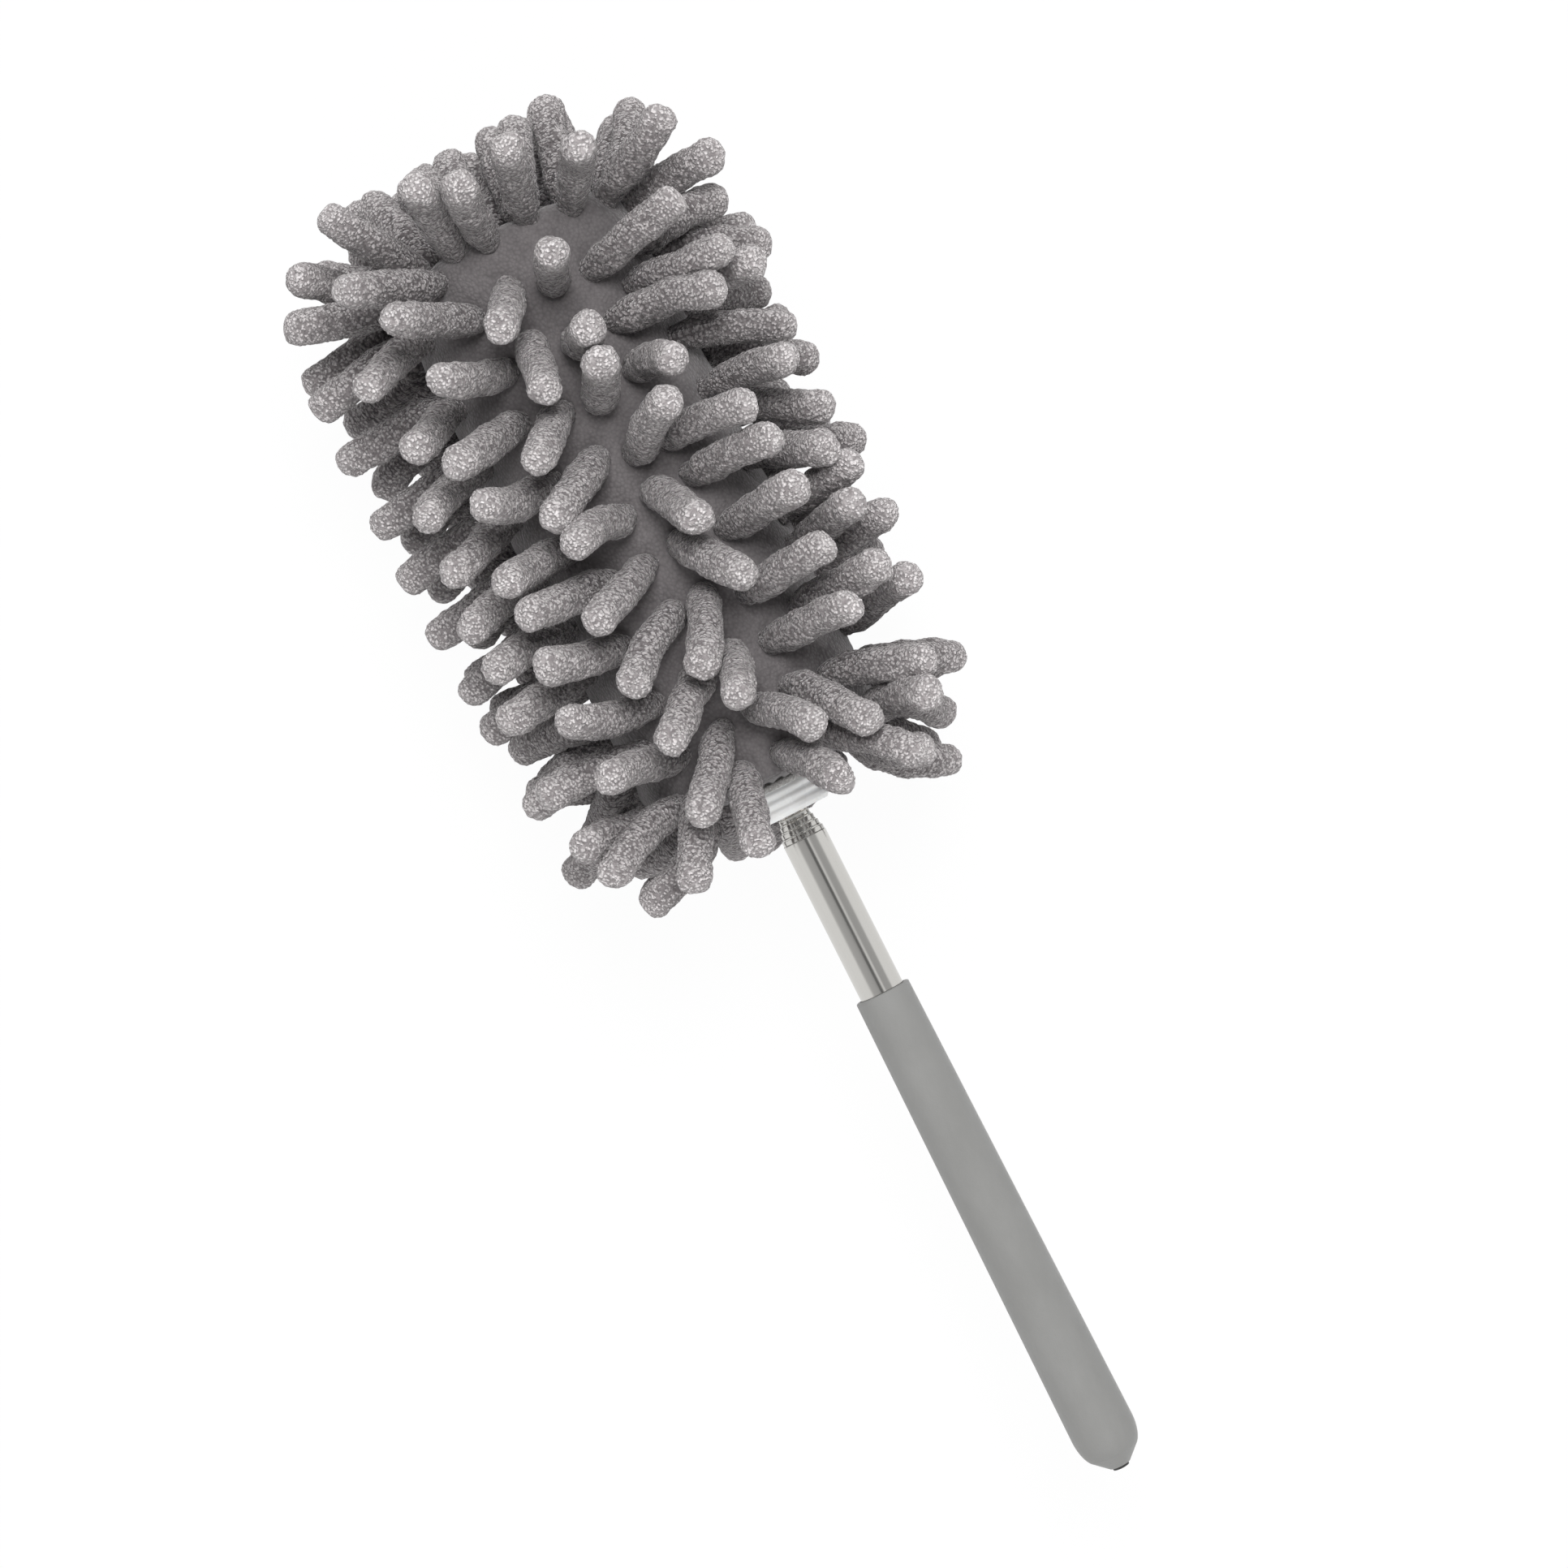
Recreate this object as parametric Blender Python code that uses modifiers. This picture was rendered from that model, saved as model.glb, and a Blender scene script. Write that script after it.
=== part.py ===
"""An extendable duster: a grey chenille head on a telescopic pole of five steel tubes with a soft grip.

It lies with its pole along X and the head towards +X. The fingertips under the head rest on the plane z = 0.
Places along the pole are measured from the end of the grip.
"""
import math

import bmesh
import bpy
import numpy as np
from mathutils import Vector

# Clearances
SEAT_GAP = 0.0003  # between pieces that meet face to face
FIT_GAP = 0.0001  # round a piece that is pressed or moulded into another
RUNNING_GAP = 0.0002  # round each tube inside the next one
CUT_OVERRUN = 0.002  # how far a cutter passes the piece that it cuts
MERGE_DISTANCE = 0.000001  # points of one mesh this close are made one

# Telescopic pole: the first tube is the outer one
TUBE_COUNT = 5
OUTER_TUBE_DIAMETER = 0.0095
OUTER_TUBE_LENGTH = 0.1388
TUBE_WALL = 0.0002
TUBE_TOP_STEP = 0.0014  # each tube's top stands this much above the one round it
TUBE_FOOT_STEP = 0.0080  # and its foot this much
LIP_LENGTH = 0.0010  # rolled-in top that keeps the next tube's bushes inside
LIP_GAP = 0.00008
TUBE_SIDES = 20

# Friction bushes: two bronze half shells in a groove round each inner tube's foot
BUSH_LENGTH = 0.0050
BUSH_GAP = 0.00007
BUSH_SLOT = 0.0006  # between the two halves
GROOVE_START = 0.0010
GROOVE_DEPTH = 0.0002
GROOVE_SLOPE = 0.0002

# Foot plug, whose nose shows at the grip's end
NOSE_DIAMETER = 0.0036
NOSE_PROUD = 0.0004  # how far it stands out of the grip
PLUG_FLANGE_THICKNESS = 0.0012
PLUG_CLEARANCE = 0.0023  # from the plug's top up to the foot of the second tube
PLUG_CHAMFER = 0.0005

# Grip sleeve
GRIP_LENGTH = 0.1088
GRIP_TOP_WALL = 0.0009
GRIP_FOOT_WALL = 0.0018
GRIP_END_WALL = 0.0046
GRIP_CONE_HEIGHT = 0.0031
GRIP_SHOULDER_WIDTH = 0.00145
GRIP_SHOULDER_HEIGHT = 0.0055
GRIP_SHOULDER_ARC = 60  # degrees
GRIP_RIM_ROUNDING = 0.0004
GRIP_SIDES = 24
SHOULDER_STEPS = 4

# Threaded tip on the innermost tube
TIP_COLLAR_DIAMETER = 0.0072
TIP_COLLAR_THICKNESS = 0.0016
TIP_SHANK_LENGTH = 0.0080
STUD_DIAMETER = 0.0058
STUD_LENGTH = 0.0120
THREAD_PITCH = 0.0015
THREAD_DEPTH = 0.0004

# Neck and stem of the head, one white moulding
NECK_LENGTH = 0.0079  # from the neck's end to the cover
NECK_DIAMETER = 0.0174
NECK_END_DIAMETER = 0.0164
NECK_TAPER_LENGTH = 0.0008
NECK_PLAIN_LENGTH = 0.0024  # from the neck's end to the first groove
NECK_RIB_DEPTH = 0.0005
NECK_RIB_COUNT = 3
STEM_DIAMETER = 0.0120
STEM_FLANGE_THICKNESS = 0.0016
STEM_FLANGE_CLEARANCE = 0.0067  # from its rim out to the cloth
STEM_SIDES = 20

# Brass insert that takes the stud
INSERT_DIAMETER = 0.0090
INSERT_LENGTH = 0.0110
INSERT_FLANGE_DIAMETER = 0.0100
INSERT_FLANGE_THICKNESS = 0.0010

# Core cap and its screw at the top of the stem
CAP_THICKNESS = 0.0016
CAP_CLEARANCE = 0.0097  # from its rim out to the cloth
CAP_DEPTH = 0.0032  # from the cover's inside to the cap's top
SCREW_DIAMETER = 0.0028
SCREW_HEAD_DIAMETER = 0.0056
SCREW_HEAD_HEIGHT = 0.0018
SCREW_LENGTH = 0.0100
SCREW_SIDES = 16

# Cloth cover, made as a hem, nine rows and a crown
HEAD_DIAMETER = 0.0534  # of the cloth, without the fingers
CLOTH_THICKNESS = 0.0020
EDGE_ROUNDING = 0.0045  # between the cover's side and each of its ends
HEM_BAND = 0.0030  # straight part of the hem, above its rounding
HEM_ROW_DROP = 0.0035  # from the hem's top down to its row of fingers
ROW_PITCH = 0.0120
ROW_COUNT = 9
CROWN_BAND = 0.0030  # straight part of the crown, below its rounding
EDGE_STEPS = 3
CLOTH_SIDES = 14

# Elastic that draws the hem in round the neck
ELASTIC_DIAMETER = 0.0016
ELASTIC_SIDES = 16
ELASTIC_STEPS = 5

# Chenille fingers
FINGER_DIAMETER = 0.0070
FINGER_LENGTH = 0.0244
FINGER_KNEE = 0.0012  # where it starts to lean, above the cloth
FINGER_TIP_ROUNDING = 0.0022
FINGER_GAP = 0.0003
FINGER_SIDES = 5
ROOT_DEPTH_SHARE = 0.6  # of the cloth's thickness, where a finger is fused into it
ROOT_RADIUS_SHARE = 0.6
TIP_RADIUS_SHARE = 0.5
FLOOR_CUT = 0.0005  # the flat on the fingertips that the duster lies on

# The fingers of each row, from the row next to the crown down to the one on the hem. Each has its angle
# round the head in degrees from the side that faces up, its place off the middle of the row as a share of
# the pitch, its lean towards the grip and its swing round the head.
FINGER_ROW_SHARES = (
    (
        (-138, 0, 4, 16), (-112, 0, 8, 2), (-84, 0.25, 9, -4), (-60, 0.1, 16, 21), (-27, -0.1, -14, -14),
        (-6, 0.02, 24, -10), (10, -0.16, -5, -3), (30, -0.18, -8, 38), (58, 0, -3, 59), (84, -0.14, 25, 10),
        (112, 0, 12, -18), (138, 0, 9, 3),
    ),
    (
        (-138, 0, 16, 16), (-112, 0, 18, 7), (-86, 0.07, 3, -1), (-62, -0.16, 16, 35), (-24, -0.11, -6, -9),
        (-8, 0.1, 35, 2), (9, -0.25, 2, -2), (29, -0.14, 13, 44), (46, 0.25, 6, 14), (74, 0, 10, -24),
        (112, 0, 11, 11), (138, 0, 0, 12),
    ),
    (
        (-138, 0, 14, 18), (-112, 0, 21, 15), (-86, 0, 10, -1), (-64, -0.22, 17, 25), (-31, 0.03, 9, -9),
        (-10, -0.15, 24, -17), (7, -0.25, -11, 1), (27, 0, 12, -9), (58, 0.25, 23, 31), (86, 0, 31, 24),
        (112, 0, -2, 4), (138, 0, 13, -1),
    ),
    (
        (-138, 0, 18, 30), (-112, 0, 19, 3), (-86, -0.03, 9, -1), (-60, -0.25, 16, 14),
        (-30, -0.14, -4, -6), (-6, -0.1, 23, -35), (9, -0.25, -11, 21), (25, -0.25, 9, 26),
        (60, 0.25, 10, -13), (84, -0.14, 26, -33), (112, 0, 30, 4), (138, 0, 3, -27),
    ),
    (
        (-138, 0, 19, 17), (-112, 0, 17, -15), (-86, -0.08, 8, -8), (-64, -0.25, 14, 16), (-37, -0.2, 5, 1),
        (-7, -0.12, 8, -23), (9, 0, 29, 6), (28, 0.03, 7, 24), (64, -0.08, 18, -22), (90, 0, 18, 36),
        (112, 0, 24, -6), (138, 0, 0, 12),
    ),
    (
        (-138, 0, 16, 24), (-112, 0, 8, 10), (-86, 0, 16, -10), (-62, -0.25, 7, 17), (-26, 0, -2, -25),
        (-8, 0, 19, -35), (9, 0.05, 36, 20), (31, -0.03, 0, 14), (72, -0.16, -6, -25), (98, 0, 33, 29),
        (112, 0, -8, 18), (138, 0, 11, 1),
    ),
    (
        (-138, 0, 5, 23), (-112, 0, -3, -3), (-88, 0, 6, -21), (-64, -0.1, 7, 10), (-35, -0.06, -8, -8),
        (-8, 0.1, 30, -35), (9, 0.12, 39, -36), (26, -0.1, 1, 27), (68, 0.25, -3, -33), (88, -0.2, -7, -37),
        (112, 0, 8, 26), (138, 0, 13, -1),
    ),
    (
        (-138, 0, 14, -10), (-112, 0, 13, -14), (-98, -0.16, 19, 32), (-74, 0.1, -5, -52),
        (-34, -0.13, -12, -14), (-7, -0.05, 27, -30), (8, 0.07, 25, -18), (26, -0.02, 5, 23),
        (48, 0.25, 0, 5), (82, -0.25, -4, -40), (112, 0, 0, 10), (138, 0, 0, 12),
    ),
    (
        (-138, 0, 10, -6), (-112, 0, -18, 16), (-90, 0, 24, -49), (-52, 0.25, -1, -17),
        (-34, -0.03, -3, -5), (-11, -0.02, 38, -28), (6, 0.12, 27, 21), (25, 0.1, 38, 11), (45, 0, 17, 16),
        (78, -0.08, 18, 45), (112, 0, 18, 20), (138, 0, 37, -5),
    ),
    (
        (-138, 0, 0, 8), (-112, 0, 7, -23), (-88, 0, 9, -34), (-64, 0, -2, 18), (-48, 0, 20, -6),
        (-31, 0, 46, -6), (-11, 0, 42, -1), (8, 0, 29, 15), (29, 0, 35, 21), (58, 0, 8, -27),
        (86, 0, 20, 66), (112, 0, 6, 36), (138, 0, 39, -15),
    ),
)
FLOOR_COLUMN = 164  # the angle, on both sides, of two more in each row, which the duster lies on
FLOOR_SWING = 16
# Fingers on the crown's rounding: angle, how far round the rounding, lean and swing
SHOULDER_FINGERS = (
    (-100, 0, 9, 12), (-90, 40, -33, 39), (-66, 5, -15, -18), (-48, 60, -45, 6), (-36, 0, -13, -14),
    (-23, 60, -27, 20), (-6, 35, -21, 6), (15, 55, -26, -9), (36, 30, -13, -21), (59, 25, -18, -8),
    (78, 0, 3, -19), (86, 55, -44, 52), (113, 66, -41, 29), (138, 66, -19, -24), (163, 66, -24, 0),
    (-164, 66, -24, 0), (-139, 66, -47, 20), (-122, 66, -38, 24),
)
# Fingers on the flat of the crown: share of its radius, angle, lean and swing
CROWN_FINGER_SHARES = (
    (0.42, 36, -68, 132), (0.42, 108, -53, 34), (0.42, -180, -73, 0), (0.42, -108, -68, -41),
    (0.42, -36, -65, -160), (0.8, 20, -57, 126), (0.8, 60, -67, 92), (0.8, 100, -84, 17),
    (0.8, 140, -61, 3), (0.8, -180, -52, 0), (0.8, -140, -65, -9), (0.8, -100, -68, -20),
    (0.8, -60, -59, -91), (0.8, -20, -56, -146), (0, 0, -56, 141),
)
# Fingers on the flat of the hem: angle, lean and swing
HEM_RING_SHARE = 0.88
HEM_FINGERS = (
    (-170, 24, 0), (-140, 21, -38), (-110, 24, -20), (-80, 3, -56), (-50, 27, -28), (78, 17, -49),
    (110, 32, 4), (140, 4, 45), (170, 8, 8),
)
KNEE_BEND = 30  # a finger that leans more than this, in degrees, has a knee
SETTLE_ROUNDS = 120
BEAD_SHARES = np.linspace(0.1, 1, 6)  # places along a finger that are kept apart from the others

# Colours, linear, with roughness and metallic
FINISHES = {
    "stainless": ((0.62, 0.61, 0.59), 0.18, 1.0),
    "bronze": ((0.58, 0.36, 0.18), 0.35, 1.0),
    "brass": ((0.66, 0.50, 0.22), 0.3, 1.0),
    "grip_rubber": ((0.32, 0.32, 0.30), 0.55, 0.0),
    "dark_plastic": ((0.10, 0.10, 0.10), 0.5, 0.0),
    "white_plastic": ((0.72, 0.73, 0.72), 0.35, 0.0),
    "foam": ((0.55, 0.55, 0.52), 0.95, 0.0),
    "elastic": ((0.10, 0.10, 0.11), 0.8, 0.0),
    "chenille": ((0.26, 0.235, 0.24), 0.95, 0.0),
    "zinc_steel": ((0.55, 0.55, 0.55), 0.3, 1.0),
}


# The scene, its collections and the pole's axis

for thing in list(bpy.data.objects):
    bpy.data.objects.remove(thing)

duster = bpy.data.collections.new("extendable_duster")
helpers = bpy.data.collections.new("cutters_and_joins")
bpy.context.scene.collection.children.link(duster)
bpy.context.scene.collection.children.link(helpers)


def finish(name):
    """The material of this name, made on first use."""
    material = bpy.data.materials.get(name)
    if material is None:
        colour, roughness, metallic = FINISHES[name]
        material = bpy.data.materials.new(name)
        material.use_nodes = True
        shader = material.node_tree.nodes["Principled BSDF"]
        shader.inputs["Base Color"].default_value = (*colour, 1)
        shader.inputs["Roughness"].default_value = roughness
        shader.inputs["Metallic"].default_value = metallic
    return material


def place(name, data, along, material_name):
    """Puts a piece on the pole's axis, this far from the grip's end."""
    piece = bpy.data.objects.new(name, data)
    duster.objects.link(piece)
    piece.parent = pole_axis
    piece.location.z = along
    data.materials.append(finish(material_name))
    return piece


def turned(name, profile, sides, along, material_name, closed=True):
    """A turned piece. Its profile runs down the outside, then back up the inside if it is hollow."""
    data = bpy.data.meshes.new(name)
    links = [(i, i + 1) for i in range(len(profile) - 1)]
    if closed:
        links.append((len(profile) - 1, 0))
    data.from_pydata([(radius, 0, height) for radius, height in profile], links, [])
    piece = place(name, data, along, material_name)
    screw = piece.modifiers.new("Turn", "SCREW")
    screw.steps = screw.render_steps = sides
    screw.use_merge_vertices = True
    screw.merge_threshold = MERGE_DISTANCE
    screw.use_smooth_shade = True
    return piece


def rounded(centre, radius, start, end, steps):
    """Points on an arc of a profile, from one angle to another, in degrees."""
    angles = [math.radians(start + (end - start) * i / steps) for i in range(steps + 1)]
    return [(centre[0] + radius * math.cos(a), centre[1] + radius * math.sin(a)) for a in angles]


def helper(name, data):
    """A cutter or a joined shape: a hidden object on the pole's axis."""
    piece = bpy.data.objects.new(name, data)
    helpers.objects.link(piece)
    piece.parent = pole_axis
    piece.hide_render = True
    piece.display_type = "WIRE"
    return piece


def helper_box(name, low, high):
    """A box between two corners, for Booleans."""
    data = bpy.data.meshes.new(name)
    shape = bmesh.new()
    bmesh.ops.create_cube(shape, size=1)
    for corner in shape.verts:
        corner.co = [start + (end - start) * (c + 0.5) for start, end, c in zip(low, high, corner.co)]
    shape.to_mesh(data)
    shape.free()
    return helper(name, data)


def combine(piece, other, operation):
    """Joins another shape to a piece, or cuts it out."""
    boolean = piece.modifiers.new(operation.title(), "BOOLEAN")
    boolean.operation = operation
    boolean.object = other


# Places along the pole, one after the other from the grip's end

nose_length = NOSE_PROUD + GRIP_END_WALL + SEAT_GAP
flange_top = nose_length + PLUG_FLANGE_THICKNESS
tube_foot = flange_top + SEAT_GAP
tube_top = tube_foot + OUTER_TUBE_LENGTH
pole_top = tube_top + (TUBE_COUNT - 1) * TUBE_TOP_STEP
collar_start = pole_top + SEAT_GAP
neck_start = pole_top - TUBE_TOP_STEP + SEAT_GAP
cover_start = neck_start + NECK_LENGTH
rows_start = cover_start + EDGE_ROUNDING + HEM_BAND
rows_end = rows_start + ROW_COUNT * ROW_PITCH
cover_end = rows_end + CROWN_BAND + EDGE_ROUNDING
total_length = cover_end + FINGER_LENGTH

head_radius = HEAD_DIAMETER / 2
cloth_inside = head_radius - CLOTH_THICKNESS
axis_height = -head_radius * math.cos(math.radians(FLOOR_COLUMN)) + FINGER_LENGTH - FLOOR_CUT

pole_axis = bpy.data.objects.new("pole_axis", None)
duster.objects.link(pole_axis)
pole_axis.empty_display_size = HEAD_DIAMETER
pole_axis.location = (-total_length / 2, 0, axis_height)
pole_axis.rotation_euler.y = math.radians(90)


# Foot plug and grip sleeve

tube_radius = OUTER_TUBE_DIAMETER / 2
tube_bore = tube_radius - TUBE_WALL
nose_radius = NOSE_DIAMETER / 2
plug_radius = tube_bore - FIT_GAP
plug_top = tube_foot + TUBE_FOOT_STEP - PLUG_CLEARANCE
turned(
    "foot_plug",
    [
        (0, plug_top),
        (plug_radius - PLUG_CHAMFER, plug_top),
        (plug_radius, plug_top - PLUG_CHAMFER),
        (plug_radius, flange_top),
        (tube_radius, flange_top),
        (tube_radius, nose_length),
        (nose_radius, nose_length),
        (nose_radius, 0),
        (0, 0),
    ],
    TUBE_SIDES,
    0,
    "dark_plastic",
    closed=False,
)

sleeve_bore = tube_radius + SEAT_GAP
sleeve_hole = nose_radius + SEAT_GAP
grip_top_radius = sleeve_bore + GRIP_TOP_WALL
cone_radius = sleeve_bore + GRIP_FOOT_WALL - GRIP_SHOULDER_WIDTH
arc = rounded((0, 0), 1, 0, GRIP_SHOULDER_ARC, SHOULDER_STEPS)
arc_out, arc_down = arc[-1]
shoulder = [
    (
        cone_radius + GRIP_SHOULDER_WIDTH * (out - arc_out) / (1 - arc_out),
        GRIP_CONE_HEIGHT + GRIP_SHOULDER_HEIGHT * (1 - down / arc_down),
    )
    for out, down in arc
]
turned(
    "grip_sleeve",
    [
        (grip_top_radius - GRIP_RIM_ROUNDING, GRIP_LENGTH),
        (grip_top_radius, GRIP_LENGTH - GRIP_RIM_ROUNDING),
    ]
    + shoulder
    + [
        (sleeve_hole, 0),
        (sleeve_hole, GRIP_END_WALL),
        (sleeve_bore, GRIP_END_WALL),
        (sleeve_bore, GRIP_LENGTH),
    ],
    GRIP_SIDES,
    NOSE_PROUD,
    "grip_rubber",
)


# Five nested tubes and the friction bushes at the feet of the four inner ones

groove_length = BUSH_LENGTH + 2 * FIT_GAP
cut = tube_radius + CUT_OVERRUN
bush_cutters = {
    "near": helper_box("near_bush_cutter", (-cut, -BUSH_SLOT / 2, 0), (cut, cut, total_length)),
    "far": helper_box("far_bush_cutter", (-cut, -cut, 0), (cut, BUSH_SLOT / 2, total_length)),
}


def groove(radius):
    """The rolled groove in a tube wall of this radius, from top to bottom."""
    low, high = GROOVE_START, GROOVE_START + groove_length
    return [
        (radius, high + GROOVE_SLOPE),
        (radius - GROOVE_DEPTH, high),
        (radius - GROOVE_DEPTH, low),
        (radius, low - GROOVE_SLOPE),
    ]


def tube(number, radius, foot, length):
    """One tube, with the lip and the groove that its place in the pole calls for."""
    bore = radius - TUBE_WALL
    outside, inside = [(radius, length)], [(bore, length)]
    if number < TUBE_COUNT:
        lip = bore - RUNNING_GAP + LIP_GAP
        lip_start = length - LIP_LENGTH
        slope = bore - lip
        outside = [(lip + TUBE_WALL, length), (lip + TUBE_WALL, lip_start), (radius, lip_start - slope)]
        inside = [(lip, length), (lip, lip_start), (bore, lip_start - slope)]
    if number > 1:
        outside += groove(radius)
        inside += groove(bore)
    profile = outside + [(radius, 0)] + [(bore, 0)] + inside[::-1]
    turned(f"tube_{number}", profile, TUBE_SIDES, foot, "stainless")


def bushes(number, radius, foot):
    """The two half shells round a tube of this radius, which rub on the bore of the tube outside it."""
    inner = radius - GROOVE_DEPTH + BUSH_GAP
    outer = radius + RUNNING_GAP - BUSH_GAP
    ring = [(outer, BUSH_LENGTH), (outer, 0), (inner, 0), (inner, BUSH_LENGTH)]
    along = foot + GROOVE_START + FIT_GAP
    for side, cutter in bush_cutters.items():
        bush = turned(f"bush_{number}_{side}", ring, TUBE_SIDES, along, "bronze")
        combine(bush, cutter, "DIFFERENCE")


for number in range(1, TUBE_COUNT + 1):
    inward = number - 1
    radius = tube_radius - inward * (TUBE_WALL + RUNNING_GAP)
    foot = tube_foot + inward * TUBE_FOOT_STEP
    top = tube_top + inward * TUBE_TOP_STEP
    tube(number, radius, foot, top - foot)
    if number > 1:
        bushes(number, radius, foot)


# Threaded tip, pressed into the innermost tube

inner_bore = tube_radius - TUBE_WALL - (TUBE_COUNT - 1) * (TUBE_WALL + RUNNING_GAP)
shank_radius = inner_bore - FIT_GAP
collar_radius = TIP_COLLAR_DIAMETER / 2
stud_radius = STUD_DIAMETER / 2
stud_core = stud_radius - THREAD_DEPTH
stud_end = TIP_COLLAR_THICKNESS + STUD_LENGTH
turns = round(STUD_LENGTH / THREAD_PITCH) - 1
thread = [(0, stud_end), (stud_core, stud_end)]
for turn in range(turns):
    crest = stud_end - (turn + 0.5) * THREAD_PITCH
    thread += [(stud_radius, crest), (stud_core, crest - THREAD_PITCH / 2)]
turned(
    "threaded_tip",
    thread
    + [
        (stud_core, TIP_COLLAR_THICKNESS),
        (collar_radius, TIP_COLLAR_THICKNESS),
        (collar_radius, 0),
        (shank_radius, 0),
        (shank_radius, -TIP_SHANK_LENGTH),
        (0, -TIP_SHANK_LENGTH),
    ],
    TUBE_SIDES,
    collar_start,
    "brass",
    closed=False,
)


# Neck and stem, with the brass insert in its socket

neck_radius = NECK_DIAMETER / 2
neck_end_radius = NECK_END_DIAMETER / 2
stem_radius = STEM_DIAMETER / 2
stem_flange_radius = cloth_inside - STEM_FLANGE_CLEARANCE
bore_radius = stud_radius + FIT_GAP
insert_radius = INSERT_DIAMETER / 2
insert_flange_radius = INSERT_FLANGE_DIAMETER / 2
screw_radius = SCREW_DIAMETER / 2
cap_top = cover_end - CLOTH_THICKNESS - CAP_DEPTH
stem_top = cap_top - CAP_THICKNESS - SEAT_GAP - neck_start
flange_bottom = NECK_LENGTH + CLOTH_THICKNESS + SEAT_GAP
collar_recess = collar_start + TIP_COLLAR_THICKNESS + SEAT_GAP - neck_start
mouth_depth = collar_recess + INSERT_FLANGE_THICKNESS + FIT_GAP
socket_depth = collar_recess + INSERT_LENGTH + SEAT_GAP
rib_pitch = (NECK_LENGTH - NECK_PLAIN_LENGTH) / NECK_RIB_COUNT
ribs = []
for rib in reversed(range(NECK_RIB_COUNT)):
    low = NECK_PLAIN_LENGTH + rib * rib_pitch
    ribs += [(neck_radius, low + rib_pitch / 2), (neck_radius - NECK_RIB_DEPTH, low)]
turned(
    "neck_stem",
    [
        (stem_radius, stem_top),
        (stem_radius, flange_bottom + STEM_FLANGE_THICKNESS),
        (stem_flange_radius, flange_bottom + STEM_FLANGE_THICKNESS),
        (stem_flange_radius, flange_bottom),
        (neck_radius - NECK_RIB_DEPTH, flange_bottom),
        (neck_radius - NECK_RIB_DEPTH, NECK_LENGTH),
    ]
    + ribs
    + [
        (neck_radius, NECK_PLAIN_LENGTH - rib_pitch / 2),
        (neck_radius, NECK_TAPER_LENGTH),
        (neck_end_radius, 0),
        (insert_flange_radius + FIT_GAP, 0),
        (insert_flange_radius + FIT_GAP, mouth_depth),
        (insert_radius + FIT_GAP, mouth_depth),
        (insert_radius + FIT_GAP, socket_depth),
        (bore_radius, socket_depth),
        (bore_radius, stem_top - SCREW_LENGTH),
        (screw_radius + FIT_GAP, stem_top - SCREW_LENGTH),
        (screw_radius + FIT_GAP, stem_top),
    ],
    STEM_SIDES,
    neck_start,
    "white_plastic",
)

turned(
    "thread_insert",
    [
        (insert_radius, INSERT_LENGTH),
        (insert_radius, INSERT_FLANGE_THICKNESS),
        (insert_flange_radius, INSERT_FLANGE_THICKNESS),
        (insert_flange_radius, 0),
        (bore_radius, 0),
        (bore_radius, INSERT_LENGTH),
    ],
    STEM_SIDES,
    neck_start + collar_recess,
    "brass",
)


# Core cap, its screw and the foam core that they hold on the stem

cap_radius = cloth_inside - CAP_CLEARANCE
screw_head_radius = SCREW_HEAD_DIAMETER / 2
turned(
    "core_cap",
    [
        (cap_radius, CAP_THICKNESS),
        (cap_radius, 0),
        (screw_radius + SEAT_GAP, 0),
        (screw_radius + SEAT_GAP, CAP_THICKNESS),
    ],
    STEM_SIDES,
    cap_top - CAP_THICKNESS,
    "white_plastic",
)

turned(
    "cap_screw",
    [
        (0, SCREW_HEAD_HEIGHT),
        (screw_head_radius / 2, SCREW_HEAD_HEIGHT),
        (screw_head_radius, SCREW_HEAD_HEIGHT / 2),
        (screw_head_radius, 0),
        (screw_radius, 0),
        (screw_radius, SEAT_GAP - SCREW_LENGTH),
        (0, -SCREW_LENGTH),
    ],
    SCREW_SIDES,
    cap_top + SEAT_GAP,
    "zinc_steel",
    closed=False,
)

foam_radius = cloth_inside - SEAT_GAP
foam_bottom = neck_start + flange_bottom + STEM_FLANGE_THICKNESS + SEAT_GAP
foam_top = cover_end - CLOTH_THICKNESS - SEAT_GAP - foam_bottom
cap_seat = cap_top - CAP_THICKNESS - SEAT_GAP - foam_bottom
cap_pocket = cap_radius / math.cos(math.pi / CLOTH_SIDES) + SEAT_GAP
inside_rounding = EDGE_ROUNDING - CLOTH_THICKNESS
foam_edge = foam_radius - inside_rounding
turned(
    "foam_core",
    [(cap_pocket, foam_top)]
    + rounded((foam_edge, foam_top - inside_rounding), inside_rounding, 90, 0, EDGE_STEPS)
    + [
        (foam_radius, 0),
        (stem_radius + SEAT_GAP, 0),
        (stem_radius + SEAT_GAP, cap_seat),
        (cap_pocket, cap_seat),
    ],
    CLOTH_SIDES,
    foam_bottom,
    "foam",
)


# Where each finger is rooted and which way it points


def outward(angle):
    """The direction square to the pole at this angle from the top of the lying duster."""
    return Vector((-math.cos(angle), -math.sin(angle), 0))


def pointing(angle, lean):
    """A direction at this angle round the pole that leans towards the grip."""
    return outward(angle) * math.cos(lean) - Vector((0, 0, math.sin(lean)))


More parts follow.
